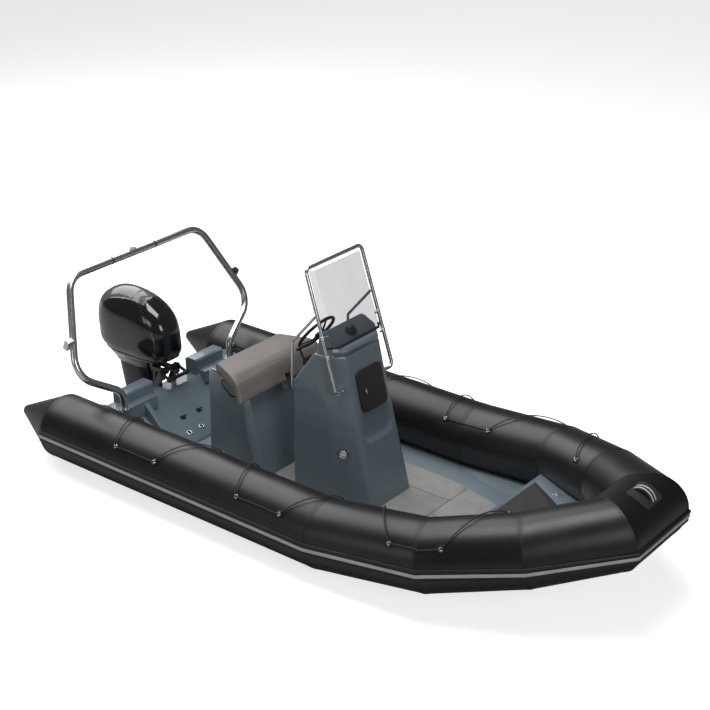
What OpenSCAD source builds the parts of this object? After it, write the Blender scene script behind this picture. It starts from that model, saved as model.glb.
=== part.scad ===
// Rigid inflatable boat with a steering console, bench seat and outboard engine.
// +X points to the bow, +Y to port and +Z up. Zero is on the waterline, on the
// centreline, level with the root of the stern cones. All sizes are millimetres.

/* [Tubes] */
// Diameter of the inflated tubes
tube_d = 530; // [480:1:560]
// Height of the tube axis above the waterline at the stern
tube_z = 285; // [270:1:330]
// Distance from the centreline to the axis of the straight tubes
tube_y = 977; // [900:1:1100]
// Length of the straight run of the tubes
straight_l = 2766; // [2500:1:3200]
// Forward run of the three bow segments on each side
bow_run = [858, 604, 462];
// Inward step of the three bow segments
bow_in = [84, 296, 366];
// Rise of the three bow segments
bow_rise = [103, 126, 130];
// Length of the stern cones
cone_l = 485; // [300:1:600]
// Radius of the blunt tip of a stern cone
cone_tip_r = 48; // [30:1:80]
// Gap between the tubes and the hard parts that seat on them
tube_fit = 0.6; // [0.3:0.1:1]
// Gap between two tubes at a seam
seam = 0.3; // [0.1:0.1:0.6]

/* [Rub strake] */
// Height of the rub strake round the tube
strake_h = 96; // [70:1:120]
// How far the strake ridges stand out from the tube
strake_t = 17; // [14:1:30]
// Height of the pale stripe between the ridges
stripe_h = 28; // [16:1:34]

/* [Hull] */
// Depth of the keel below the waterline
keel_depth = 205; // [150:1:260]
// Station of the transom's outer face
transom_x = 190; // [120:1:230]
// Thickness of the deck moulding
deck_t = 20; // [12:1:30]
// Height of the deck's edge lip above the deck
lip_h = 12; // [6:1:20]
// Thickness of the floor panels
panel_t = 6; // [4:1:10]
// Half width of the panelled floor
floor_w = 545; // [450:1:600]

/* [Transom] */
// Height of the engine cut-out above the deck
cutout_h = 290; // [260:1:320]
// Half width of the engine cut-out
cutout_w = 262; // [240:1:290]
// Height of the stern blocks above the deck
block_h = 432; // [400:1:460]
// Forward end of the stern moulding's sloping wall
well_x = 800; // [720:1:880]

/* [Console] */
// Station of the console's aft face
console_x = 1900; // [1850:1:1960]
// Length of the console at the deck
console_l = 740; // [660:1:780]
// Half width of the console's aft face
console_w = 318; // [280:1:360]
// Height of the console body above the floor panels
console_h = 1208; // [1100:1:1300]
// Thickness of the console's walls
console_wall = 12; // [6:1:20]

/* [Seat] */
// Station of the seat's aft face
seat_x = 1060; // [1020:1:1100]
// Height of the seat base above the floor panels
seat_h = 785; // [700:1:820]
// Thickness of the seat cushion
cushion_t = 78; // [60:1:100]
// Length of the front flap of the cushion
flap_l = 180; // [160:1:230]

/* [Roll bar] */
// Diameter of the roll bar's tube
bar_d = 60; // [42:1:66]
// Height of the roll bar's top above the deck
bar_h = 1428; // [1300:1:1500]

/* [Windscreen] */
// Diameter of the windscreen frame's tube
frame_d = 30; // [24:1:32]
// Height of the frame's top above the deck
screen_top = 1890; // [1800:1:1950]
// Thickness of the windscreen
screen_t = 5; // [4:1:8]

/* [Steering wheel] */
// Diameter of the steering wheel's rim at its middle
wheel_d = 340; // [300:1:380]
// Thickness of the rim
rim_d = 26; // [20:1:32]

/* [Bow locker] */
// Height of the bow locker's top above the deck
locker_h = 295; // [270:1:310]
// Thickness of the locker's lid
lid_t = 22; // [14:1:26]
// Half width of the lid at its aft edge
lid_w = 470; // [400:1:480]

/* [Engine] */
// Distance from the tilt axis down to the anti-ventilation plate
shaft_l = 770; // [720:1:800]
// Diameter of the propeller
prop_d = 340; // [300:1:360]
// Half width of the engine cowl
cowl_w = 200; // [180:1:215]
// Thickness of the cowl's shell
cowl_wall = 6; // [4:1:10]
// Number of propeller blades
blade_count = 3; // [3:1:4]

/* [Hidden] */

tube_r = tube_d / 2;
grp = "#54626a";
touch = 0.4;                 // gap between hard parts that rest on each other
big = 3000;

// ---- vectors and lofts ----
function unit(v) = v / norm(v);
function mix(a, b, t) = a * (1 - t) + b * t;
function mirror_y(p) = [p[0], -p[1], p[2]];

// Turns +Z to the direction d.
module aim(d) rotate([0, acos(d[2] / norm(d)), atan2(d[1], d[0])]) children();

function turned(v) = [for (i = [len(v) - 1:-1:0]) v[i]];

// Closed solid through rings of equally many points, in either direction. Ends that
// aren't convex are given as convex parts, each a list of point numbers in a ring.
function total(v) = [for (p = v) 1] * v;
function middle(r) = total(r) / len(r);
function runs_left(r, next) = total([for (j = [0:len(r) - 1])
    cross(r[j] - r[0], r[(j + 1) % len(r)] - r[0])]) * (middle(next) - middle(r)) > 0;
module loft(rings, parts = []) {
    n = len(rings[0]);
    m = len(rings);
    back = runs_left(rings[0], rings[1]);
    sides = [for (k = [0:m - 2], j = [0:n - 1], h = [0, 1])
        let (a = k * n + j, b = k * n + (j + 1) % n, f = h == 0 ? [a, b, b + n] : [a, b + n, a + n])
        back ? [f[2], f[1], f[0]] : f];
    low = [for (c = len(parts) > 0 ? parts : [[for (j = [0:n - 1]) j]]) back ? c : turned(c)];
    high = [for (c = low) [for (j = turned(c)) (m - 1) * n + j]];
    polyhedron([for (r = rings, p = r) p], concat(sides, low, high));
}

// Plan outline with each corner rounded by radius r in n steps.
function round_corners(pts, r, n = 4) = [for (i = [0:len(pts) - 1])
    let (c = len(pts), p = pts[i], u = unit(pts[(i + c - 1) % c] - p),
        v = unit(pts[(i + 1) % c] - p), half = acos(u * v) / 2,
        mid = p + unit(u + v) * r / sin(half), s = unit(p + u * r / tan(half) - mid),
        turn = 180 - 2 * half, side = sign(cross(v, u)))
    for (k = [0:n]) mid + r * rot2(s, side * turn * k / n)];
function rot2(v, a) = [v[0] * cos(a) - v[1] * sin(a), v[0] * sin(a) + v[1] * cos(a)];
function at_z(pts, z) = [for (p = pts) [p[0], p[1], z]];

// Super-ellipse ring in the XY plane: centre, half length, half width, squareness.
function oval(cx, a, b, e, n = 28) = [for (k = [0:n - 1]) let (t = 360 * k / n)
    [cx + a * sign(cos(t)) * pow(abs(cos(t)), e), b * sign(sin(t)) * pow(abs(sin(t)), e)]];

// Bent round tube through the points, with one bend radius or a list of them.
function bent(pts, bend, n = 6) = let (last = len(pts) - 1) concat(
    [[pts[0], unit(pts[1] - pts[0])]],
    [for (i = [1:1:last - 1]) let (a = unit(pts[i] - pts[i - 1]), b = unit(pts[i + 1] - pts[i]),
            turn = acos(a * b), r = is_list(bend) ? bend[i - 1] : bend,
            mid = pts[i] - a * r * tan(turn / 2) + unit(b - a * (a * b)) * r,
            e = unit(pts[i] - a * r * tan(turn / 2) - mid))
        for (k = [0:n]) let (t = turn * k / n)
            [mid + r * (cos(t) * e + sin(t) * a), cos(t) * a - sin(t) * e]],
    [[pts[last], unit(pts[last] - pts[last - 1])]]);
function across(t) = unit(cross(t, abs(t[2]) < 0.9 ? [0, 0, 1] : [1, 0, 0]));
function carried(way, k) = k == 0 ? across(way[0][1]) :
    let (v = carried(way, k - 1), t = way[k][1]) unit(v - t * (v * t));
function tube_rings(way, r, n) = [for (k = [0:len(way) - 1])
    let (p = way[k][0], t = way[k][1], u = carried(way, k), v = cross(t, u))
    [for (j = [0:n - 1]) p + r * (cos(360 * j / n) * u + sin(360 * j / n) * v)]];
module pipe(pts, d, bend, n = 24) loft(tube_rings(bent(pts, bend), d / 2, n));

// ---- tube axis, from the starboard stern round the bow to the port stern ----
function sum_to(v, i) = i <= 0 ? 0 : v[i - 1] + sum_to(v, i - 1);
axis_s = concat([[0, -tube_y, tube_z]], [for (i = [0:3])
    [straight_l + sum_to(bow_run, i), sum_to(bow_in, i) - tube_y, tube_z + sum_to(bow_rise, i)]]);
path = concat(axis_s, [for (i = [4:-1:0]) mirror_y(axis_s[i])]);
function seg_dir(i) = unit(path[i + 1] - path[i]);
function seg_out(i) = unit([seg_dir(i)[1], -seg_dir(i)[0], 0]);
function seg_up(i) = cross(seg_out(i), seg_dir(i));
function mitre(i) = i == 0 ? seg_dir(0) : i == 9 ? seg_dir(8) : unit(seg_dir(i - 1) + seg_dir(i));
function slid(v, d, m) = v - d * ((v * m) / (d * m));
// Point of the mitre ring at corner i: h outward from the axis and v upward.
function ring_hv(i, h, v) = path[i] + (
    i == 0 ? h * seg_out(0) + v * seg_up(0) : i == 9 ? h * seg_out(8) + v * seg_up(8) :
    (slid(h * seg_out(i - 1) + v * seg_up(i - 1), seg_dir(i - 1), mitre(i))
    + slid(h * seg_out(i) + v * seg_up(i), seg_dir(i), mitre(i))) / 2);
function ring(i, b, r) = ring_hv(i, r * cos(b), r * sin(b));
// Point at path position s, angle b from the outward side, distance r from the axis.
function along(s, b, r) = let (i = min(floor(s), 8), t = s - i)
    mix(ring(i, b, r), ring(i + 1, b, r), t);
function along_hv(s, h, v) = let (i = min(floor(s), 8), t = s - i)
    mix(ring_hv(i, h, v), ring_hv(i + 1, h, v), t);

module stern_cone() {
    lean = atan((tube_r - cone_tip_r) / cone_l);
    rotate([0, -90, 0]) rotate_extrude($fn = 96) polygon(concat([[0, 0], [tube_r, 0]],
        [for (k = [0:6]) let (a = lean + (90 - lean) * k / 6)
            [cone_tip_r * cos(a), cone_l - cone_tip_r + cone_tip_r * sin(a)]]));
}

// Plain cylinder round one run of the tubes, with extra skin, to trim what seats against it.
module run_space(i, gap = tube_fit) translate(path[i] - seg_dir(i) * 60) aim(seg_dir(i))
    cylinder(r = tube_r + gap, h = norm(path[i + 1] - path[i]) + 120, $fn = 96);

module starboard_tube() color("#1c1c1d") {
    intersection() {
        translate(path[0]) aim(seg_dir(0)) cylinder(r = tube_r, h = straight_l + tube_r, $fn = 96);
        translate(path[1] - seg_dir(0) * seam) aim(mitre(1)) translate([-tube_r * 2, -tube_r * 2, -2 * big])
            cube([4 * tube_r, 4 * tube_r, 2 * big]);
    }
    translate(path[0]) stern_cone();
}
module port_tube() mirror([0, 1, 0]) starboard_tube();
// Faceted tube through the corners i to j.
module tube_through(i, j, gap = 0) loft([for (c = [i:j]) [for (k = [0:71]) ring(c, 5 * k, tube_r)
    + (c == i ? 1 : c == j ? -1 : 0) * gap * seg_dir(i)]]);
module starboard_shoulder_tube() color("#232324") tube_through(1, 4);
module port_shoulder_tube() color("#232324") tube_through(5, 8);
module bow_tube() color("#1c1c1d") tube_through(4, 5, seam);

// ---- rub strake ----
strake_b = [2, 0, -2, -5, -9];
function strake_angle(i) = strake_b[i < 5 ? i : 9 - i];
function skin_angle(mm) = mm / tube_r * 180 / PI;
channel = 9;                 // depth of the channel's floor over the tube
function strake_ring(i, pts) = [for (p = pts) ring(i, strake_angle(i) + skin_angle(p[0]), tube_r + p[1])];
module strake_sweep(pts) loft([for (i = [0:9]) strake_ring(i, pts)]);
module rub_strake() color("#161616") strake_sweep(concat(
    [for (k = [-4:4]) [strake_h / 2 * k / 4, tube_fit + touch]],
    [for (s = [1, -1], q = s > 0 ?
        [[strake_h / 2 - 3, strake_t * 0.6], [strake_h / 2 - 11, strake_t], [strake_h / 2 - 22, strake_t * 0.96],
            [stripe_h / 2 + 2, channel]] :
        [[stripe_h / 2 + 2, channel], [strake_h / 2 - 22, strake_t * 0.96], [strake_h / 2 - 11, strake_t],
            [strake_h / 2 - 3, strake_t * 0.6]]) [s * q[0], q[1]]]));
module strake_stripe() color("#b0b0b0") strake_sweep([
    [stripe_h / 2, channel + touch], [-stripe_h / 2, channel + touch],
    [-stripe_h / 2, channel + 4], [-stripe_h / 4, channel + 7], [stripe_h / 4, channel + 7],
    [stripe_h / 2, channel + 4]]);

// ---- hull and deck ----
lip_b = -133;                // angle on the tube where the deck's lip ends
flange_b = -98;              // angle on the tube where the hull's flange begins
seat_r = tube_r + tube_fit + 0.5;
lip_z = tube_z + seat_r * sin(lip_b);
deck_z = lip_z - lip_h;
floor_z = deck_z + panel_t;
bow_s = 4.5;                 // path position of the stem
transom_s = transom_x / straight_l;
// Stations: closely spaced towards the bow.
hull_s = concat([transom_s, 0.35, 0.7, 1], [1.33, 1.67, 2], [2.33, 2.67, 3], [3.33, 3.67, 4], [bow_s]);
flange = [for (k = [0:5]) flange_b + (lip_b - flange_b) * k / 5];

function flange_pt(s, b) = along(s, b, seat_r);
function stem_x() = flange_pt(bow_s, flange_b)[0];
// Keel: level aft, then rising in a curve to the stem.
keel_break = 2500;
function keel_rise(x) = x < keel_break ? 0 : pow((x - keel_break) / (stem_x() - 30 - keel_break), 2.6);
function keel_z(x) = mix(-keel_depth, flange_pt(bow_s, flange_b)[2] - 25, min(1, keel_rise(x)));
function keel_pt(s) = let (x = min(flange_pt(s, flange_b)[0], stem_x() - 30)) [x, 0, keel_z(x)];
function chine_pt(s) = let (f = flange_pt(s, flange_b), k = keel_pt(s))
    [f[0] - 4, s >= bow_s ? 0 : f[1] + 26, f[2] - 16 - 30 * max(0, s - 1) / 3.5];
function on_centre(p, s) = s >= bow_s ? [p[0], 0, p[2]] : p;
// Half section from the keel out to the lip.
function outer_half(s) = concat([keel_pt(s)],
    [on_centre(mix(keel_pt(s), chine_pt(s), 0.5) + [0, 0, -4], s), on_centre(chine_pt(s), s)],
    [for (b = flange) on_centre(flange_pt(s, b), s)]);
// Deck line from the lip to the centre; drop lowers it all.
lip_w = 46;
function slope_w(s) = 26 + 70 * min(1, max(0, s - 1));
function rim_z(s, drop) = flange_pt(s, lip_b)[2] - drop;
function sole_z(s, drop) = s <= 2 ? deck_z - drop :
    mix(deck_z, rim_z(s, 0) - 60, pow((s - 2) / 2.5, 1.3)) - drop;
function inner_half(s, drop) = let (p = flange_pt(s, lip_b),
        q = along_hv(s, seat_r * cos(lip_b) - lip_w, seat_r * sin(lip_b)),
        w = along_hv(s, seat_r * cos(lip_b) - lip_w - slope_w(s), seat_r * sin(lip_b)))
    [on_centre([p[0], p[1], rim_z(s, drop)], s), on_centre([q[0], q[1], rim_z(s, drop)], s),
        on_centre([w[0], w[1], sole_z(s, drop)], s),
        [w[0] - (s >= bow_s ? 20 : s >= 4 ? 60 : 0), 0, sole_z(s, drop) - (drop > 0 ? 1.5 : 0)]];

// Solid from half sections that all end in one centreline section at the stem.
module half_loft(halves, from_top = false) {
    n = len(halves[0]);
    m = len(halves);
    full = 2 * n - 2;
    function idx(k, j) = k < m - 1 ? k * full + (j % full) :
        (m - 1) * full + ((j % full) < n ? j % full : full - (j % full));
    pts = concat([for (k = [0:m - 2]) each concat(halves[k],
        [for (j = [n - 2:-1:1]) mirror_y(halves[k][j])])], halves[m - 1]);
    sides = [for (k = [0:m - 2], j = [0:full - 1], h = [0, 1])
        let (f = h == 0 ? [idx(k, j), idx(k + 1, j + 1), idx(k, j + 1)] :
            [idx(k, j), idx(k + 1, j), idx(k + 1, j + 1)])
        if (f[0] != f[1] && f[1] != f[2] && f[0] != f[2]) f];
    polyhedron(pts, [for (f = concat(sides, [[for (j = [0:full - 1]) j]])) from_top ? f : turned(f)]);
}

module hull() color(grp) half_loft([for (s = hull_s)
    concat(outer_half(s), inner_half(s, deck_t + touch))]);
module deck() color("#6c7a82") half_loft([for (s = hull_s)
    concat(turned(inner_half(s, 0)), inner_half(s, deck_t))], true);
// Everything below the deck's top face, to trim what stands on the deck.
module deck_space() half_loft([for (s = hull_s) turned(concat(outer_half(s), inner_half(s, -touch)))], true);

// ---- floor panels ----
panel_gap = 5;
joint_x = 3000;              // cross joint between the main and the bow panels
function floor_edge(x) = floor_w - 130 * pow(max(0, (x - 2600) / 760), 2);
module floor_panels() color("#8c8c8a") translate([0, 0, deck_z])
    linear_extrude(panel_t) difference() {
        polygon(concat([for (x = [seat_x:150:3500]) [x, -floor_edge(x)]],
            [for (x = [3460:-150:seat_x]) [x, floor_edge(x)]]));
        for (y = [-258, 258]) translate([1600, y - panel_gap / 2]) square([joint_x - 1600, panel_gap]);
        translate([joint_x, -big / 2]) square([panel_gap, big]);
        translate([joint_x, -panel_gap / 2]) square([600, panel_gap]);
        translate([1500, -big / 2]) square([panel_gap, big]);
    }

// ---- stern moulding ----
knee_y = 400;
knee_t = 46;
foot_x = 362;
foot_h = 335;                // height of the roll bar's pads above the deck
side_y = 700;
top_x = 330;                 // forward edge of the transom's top
module slab(y0, y1, pts) translate([0, y1, deck_z]) rotate([90, 0, 0]) linear_extrude(y1 - y0) polygon(pts);
module transom_moulding() color(grp) difference() {
    union() {
        // Central wall that slopes down into the boat.
        slab(-side_y, side_y, [[transom_x, touch], [well_x, touch], [well_x - 20, 24],
            [top_x + 90, cutout_h - 120], [top_x, cutout_h], [transom_x, cutout_h]]);
        for (m = [0, 1]) mirror([0, m, 0]) {
            // Raised block beside the engine.
            slab(cutout_w, 598, [[transom_x, cutout_h - 1], [top_x - 10, cutout_h - 1], [top_x - 10, block_h - 14],
                [top_x - 22, block_h], [transom_x + 18, block_h], [transom_x, block_h - 14]]);
            // Lower step in front of the block, with the roll bar's pad.
            slab(cutout_w + 30, side_y + 60, [[transom_x + 10, cutout_h - 1], [top_x + 70, cutout_h - 60],
                [top_x + 62, foot_h], [transom_x + 10, foot_h]]);
            // Knee that carries the block down to the deck.
            slab(knee_y, knee_y + knee_t, [[top_x - 40, cutout_h - 80], [top_x - 40, foot_h],
                [top_x + 40, foot_h], [top_x + 120, foot_h - 70], [top_x + 220, foot_h - 175],
                [top_x + 350, 70], [well_x + 90, touch], [top_x, touch]]);
        }
    }
    run_space(0);
    run_space(8);
}

// ---- roll bar ----
bar_bow = 0.44;              // how far the bar leans aft for each unit of height
function bar_x(z) = 484 - bar_bow * (z - tube_z);
bar_top = deck_z + bar_h;
bar_half = [[foot_x, 640, deck_z + foot_h + 8], [bar_x(tube_z + 285), 640, tube_z + 285],
    [bar_x(tube_z + 530), 1040, tube_z + 530], [bar_x(bar_top) - 10, 752, bar_top]];
module roll_bar() color("#c8ccd0") {
    pipe(concat(bar_half, [for (i = [3:-1:0]) mirror_y(bar_half[i])]), bar_d,
        [140, 210, 190, 190, 210, 140]);
    for (m = [0, 1]) mirror([0, m, 0]) translate([foot_x, 640, deck_z + foot_h + touch])
        cylinder(d = 100, h = 8, $fn = 48);
}
module stern_light() color("#b8babc") translate([bar_x(bar_top), -60, bar_top + bar_d / 2 + touch]) {
    cylinder(d = 34, h = 12, $fn = 32);
    translate([0, 0, 12]) cylinder(d = 26, h = 16, $fn = 32);
}

// ---- lifelines ----
rope_d = 10;
pad_d = 58;
pad_t = 5;
rope_h = pad_t + rope_d / 2 + 3.2;   // rope's axis over the tube
outer_b = 38;                // angle of the outer pads on the tube
inner_b = 138;               // angle of the inner pads
// Pads on each side as [path position, inner pad or not], from the stern forward.
starboard_pads = [[0.1, 1], [0.26, 1], [0.3, 0], [0.45, 0], [0.58, 1], [0.71, 1], [0.757, 0], [0.907, 0],
    [1.06, 1], [1.48, 1], [1.77, 0], [2.25, 0], [2.86, 1]];
port_pads = [[0.1, 1], [0.17, 1], [0.3, 0], [0.45, 0], [0.47, 1], [0.62, 1], [0.785, 0], [0.93, 0],
    [0.942, 1], [1.336, 1], [1.862, 0], [2.28, 0], [2.75, 1]];
function pad_b(p) = p[1] == 1 ? inner_b : outer_b;
// Rope between two pads: straight along the tube, or an arc over its top.
function span_pts(p, q) = p[1] == q[1] ?
    [for (i = [1:4]) if (i > p[0] && i < q[0]) [i, pad_b(p), rope_h + 2]] :
    [for (k = [1:7]) let (t = k / 8) [mix(p[0], q[0], t), mix(pad_b(p), pad_b(q), t),
        rope_h + 8 * sin(180 * t)]];
function rope_route(pads) = concat([for (i = [0:len(pads) - 2]) each concat(
    [[pads[i][0], pad_b(pads[i]), rope_h]], span_pts(pads[i], pads[i + 1]))],
    [let (p = pads[len(pads) - 1]) [p[0], pad_b(p), rope_h]]);
function rope_way(pads) = let (r = rope_route(pads), n = len(r),
        pts = [for (q = r) along(q[0], q[1], tube_r + q[2])])
    [for (i = [0:n - 1]) [pts[i], unit(pts[min(i + 1, n - 1)] - pts[max(i - 1, 0)])]];
module starboard_lifeline() color("#1a1a1a") loft(tube_rings(rope_way(starboard_pads), rope_d / 2, 8));
module port_lifeline() color("#1a1a1a") mirror([0, 1, 0]) loft(tube_rings(rope_way(port_pads), rope_d / 2, 8));
module pads_along(pads) for (p = pads) {
    at = along(p[0], pad_b(p), tube_r + touch);
    out = along(p[0], pad_b(p), tube_r + 100) - at;
    d = seg_dir(floor(p[0]));
    translate(at) aim(out - d * (d * out)) translate([0, 0, touch]) cylinder(d = pad_d, h = pad_t, $fn = 32);
}
module lifeline_pads() color("#2a2a2b") {
    pads_along(starboard_pads);
    mirror([0, 1, 0]) pads_along(port_pads);
}

// ---- bow handle ----
module bow_handle() color("#3a3a3c") translate([path[4][0], 0, path[4][2]]) rotate([0, 22, 0])
    difference() {
        union() {
            intersection() {
                rotate([90, 0, 0]) cylinder(r = tube_r + 6, h = 230, center = true, $fn = 96);
                translate([-75, -115, 0]) cube([150, 230, big]);
            }
            translate([0, 0, tube_r - 40]) rotate([90, 0, 0]) cylinder(r = 84, h = 40, center = true, $fn = 64);
        }
        rotate([90, 0, 0]) cylinder(r = tube_r + tube_fit, h = 400, center = true, $fn = 96);
    }

// ---- bow locker ----
locker_x = 3600;
locker_fit = 4;              // gap between the locker and the tubes
lid_hinge_x = 4075;
locker_top = deck_z + locker_h;
lid_fw = 215;                // half width of the lid at its hinge
frame_t = 26;
lid_gap = 5;
lid_aft_x = 3640;
locker_front = path[3][0] + 100;
locker_fw = path[3][1] + 80;
function lid_outline(g) = [[lid_aft_x - g, -lid_w - g], [lid_hinge_x - 30 + g, -lid_fw - g],
    [lid_hinge_x - 30 + g, lid_fw + g], [lid_aft_x - g, lid_w + g]];
module bow_locker() color("#6c7a82") difference() {
    union() {
        translate([0, 0, locker_top - frame_t]) linear_extrude(frame_t)
            polygon([[locker_x, -800], [path[2][0], -800], [path[3][0], path[3][1]], [locker_front, locker_fw],
                [locker_front, -locker_fw], [path[3][0], -path[3][1]], [path[2][0], 800], [locker_x, 800]]);
        translate([locker_x, -720, deck_z + touch]) cube([24, 1440, locker_h - frame_t]);
    }
    translate([0, 0, locker_top - 80]) linear_extrude(100) polygon(lid_outline(lid_gap));
    deck_space();
    for (i = [1:3]) {
        run_space(i, locker_fit);
        run_space(8 - i, locker_fit);
    }
}
module bow_locker_lid() color("#3c3d3e") {
    translate([0, 0, locker_top - lid_t + 4]) linear_extrude(lid_t)
        polygon(round_corners(lid_outline(0), 18, 4));
    for (y = [-120, 120]) translate([lid_hinge_x - 12, y, locker_top + 8]) rotate([90, 0, 0])
        cylinder(d = 12, h = 60, center = true, $fn = 32);
    for (y = [-120, 120]) translate([lid_hinge_x - 50, y - 30, locker_top + 4]) cube([38, 60, 4]);
}

// ---- console ----
con_front = console_x + console_l;
con_top = floor_z + console_h;
dash_low = console_h - 285;  // height where the dash starts to lean forward
// Plan outlines of the console at a height, shrunk by g for the inner face.
function con_plan(aft, front, wa, wc, wf, g) = round_corners([[aft + g, -wa + g],
    [mix(aft, front, 0.62), -wc + g], [front - g, -wf + g * 0.7], [front - g, wf - g * 0.7],
    [mix(aft, front, 0.62), wc - g], [aft + g, wa - g]], 26, 3);
function con_level(h, g) = let (t = h / console_h,
        aft = h < dash_low ? console_x : console_x + 205 * (h - dash_low) / (console_h - dash_low),
        front = con_front - 295 * t, wa = console_w - 12 * t, wf = 250 - 48 * t)
    con_plan(aft, front, wa, wa - 4, wf, g);
module console_shape(g, h0, h1) loft([for (h = [h0, dash_low, h1]) at_z(con_level(h, g), floor_z + h)]);
// Frame of the front face: origin at the deck, Z out of the face, Y up the face.
face_lean = atan(295 / console_h);
module on_front(x, up) translate([con_front - 295 * up / console_h + x, 0, floor_z + up])
    rotate([0, 90 - face_lean, 0]) rotate([0, 0, 90]) children();
hatch_w = 300;
hatch_h = 330;
hatch_up = 905;
hatch_t = 20;
module hatch_plate(g, t) linear_extrude(t) polygon(round_corners([[-hatch_w / 2 - g, -hatch_h / 2 - g],
    [hatch_w / 2 + g, -hatch_h / 2 - g], [hatch_w / 2 + g, hatch_h / 2 + g],
    [-hatch_w / 2 - g, hatch_h / 2 + g]], 42 + g, 5));
module console() color(grp) difference() {
    console_shape(0, touch, console_h);
    console_shape(console_wall, -40, console_h - console_wall);
    on_front(0, hatch_up) translate([0, 0, -60]) hatch_plate(-16, 200);
    // Opening under the dashboard.
    dash_at(0) translate([-200, -60, -40]) cube([400, 120, 80]);
}
module console_hatch() color("#2c2d2e") {
    on_front(1.5, hatch_up) hatch_plate(0, hatch_t);
    on_front(1.5, hatch_up) for (v = [-90, 90]) translate([hatch_w / 2 + 5, v, hatch_t / 2])
        rotate([90, 0, 0]) cylinder(d = 10, h = 50, center = true, $fn = 32);
}
// Frame of the dash: origin mid-slope, Z out of the face, Y up the slope.
dash_lean = atan(205 / (console_h - dash_low));
module dash_at(up) translate([console_x + 102, 0, floor_z + (console_h + dash_low) / 2])
    rotate([0, -90 + dash_lean, 0]) rotate([0, 0, -90]) translate([0, up, 0]) children();
helm_up = 57;               // steering shaft's place up the dash from its middle
helm_out = 178;              // distance from the dash to the middle of the wheel's rim
shaft_d = 34;
shaft_fit = 0.05;
bezel_h = 62;
module dashboard() color("#26282a") dash_at(0) difference() {
    union() {
        translate([0, 0, touch]) linear_extrude(6)
            polygon(round_corners([[-250, -130], [250, -130], [250, 125], [-250, 125]], 24, 4));
        translate([0, helm_up, touch]) cylinder(d1 = 150, d2 = 84, h = bezel_h, $fn = 64);
    }
    translate([0, helm_up, touch + 10]) cylinder(d = shaft_d + 2 * shaft_fit, h = bezel_h, $fn = 48);
}
cap_h = 62;
module console_cap() color(grp) loft([
    at_z(con_plan(console_x + 212, con_front - 300, 290, 285, 196, 0), con_top + touch),
    at_z(con_plan(console_x + 220, con_front - 292, 284, 280, 192, 0), con_top + cap_h * 0.6),
    [for (p = con_plan(console_x + 230, con_front - 306, 266, 262, 176, 0))
        [p[0], p[1], con_top + cap_h + 0.42 * (con_front - 306 - p[0])]]]);
dome_x = 2225;
module compass_dome() color("#2b2b2d") translate([dome_x, 0, con_top + cap_h
        + 0.42 * (con_front - 306 - dome_x) + touch]) rotate([0, atan(0.42), 0]) {
    cylinder(d = 96, h = 16, $fn = 64);
    translate([0, 0, 16]) intersection() {
        scale(1) sphere(d = 80, $fn = 48);
        cylinder(d = 90, h = 60, $fn = 48);
    }
}
module throttle_control() color("#1d1e20") dash_at(0) translate([200, -12, 6 + 2 * touch]) {
    translate([-28, -42, 0]) cube([56, 84, 38]);
    translate([27, 0, 20]) rotate([0, 90, 0]) cylinder(d = 36, h = 16, $fn = 48);
    translate([34, 0, 20]) rotate([-25, 0, 0]) {
        translate([0, -9, 0]) cube([8, 18, 112]);
        translate([-28, 0, 112]) rotate([0, 90, 0]) cylinder(d = 25, h = 60, $fn = 32);
    }
}

// ---- windscreen ----
scr_top_z = deck_z + screen_top;
scr_lean = 0.327;
function scr_x(z) = 2065 + scr_lean * (tube_z + 1685 - z);
leg_z = tube_z + 810;
frame_y = 330;
frame_half = [[2352, 253, leg_z - 72], [scr_x(leg_z - 66) - 2, 345, leg_z - 66],
    [scr_x(scr_top_z), frame_y, scr_top_z]];
module windscreen_frame() color("#c8ccd0") pipe(concat(frame_half, [for (i = [2:-1:0]) mirror_y(frame_half[i])]),
    frame_d, 42, 20);
// Outline of the sheet at one height: x at its middle, half widths of its middle and its whole.
wing = 0.84;                 // how far a wing runs aft for each unit outward
function sheet_ring(xm, wm, we, z) = let (xe = xm - wing * (we - wm)) at_z([[xe, -we], [xm, -wm], [xm, wm],
    [xe, we], [xe - screen_t, we], [xm - screen_t, wm], [xm - screen_t, -wm], [xe - screen_t, -we]], z);
module windscreen() color([0.6, 0.62, 0.63, 0.4]) loft([
    sheet_ring(2308, 252, frame_y - 16, con_top + cap_h + 14),
    sheet_ring(scr_x(scr_top_z - 24) + 26, 266, frame_y - 34, scr_top_z - 24)],
    [[0, 1, 6, 7], [1, 2, 5, 6], [2, 3, 4, 5]]);
rail_low = tube_z + 676;
rail_half = [[1928, console_w - 12 * (rail_low - floor_z) / console_h + touch, rail_low],
    [1925, 338, rail_low + 2], [1934, 338, tube_z + 1065], [2157, 335.6, tube_z + 1323.5]];
module console_grab_rails() color("#c8ccd0") for (m = [0, 1]) mirror([0, m, 0])
    pipe(rail_half, 22, 20, 16);

// ---- steering wheel ----
module steering_wheel() color("#17181a") dash_at(helm_up) translate([0, 0, helm_out]) {
    rotate_extrude($fn = 96) translate([wheel_d / 2, 0]) circle(d = rim_d, $fn = 24);
    translate([0, 0, -50]) cylinder(d = 84, h = 46, $fn = 48);
    translate([0, 0, bezel_h - 30 - helm_out]) cylinder(d = shaft_d, h = helm_out - bezel_h - 18, $fn = 48);
    for (a = [90, 210, 330]) rotate([0, 0, a]) translate([0, -14, -24])
        cube([wheel_d / 2 - 4, 28, 12]);
}

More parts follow.
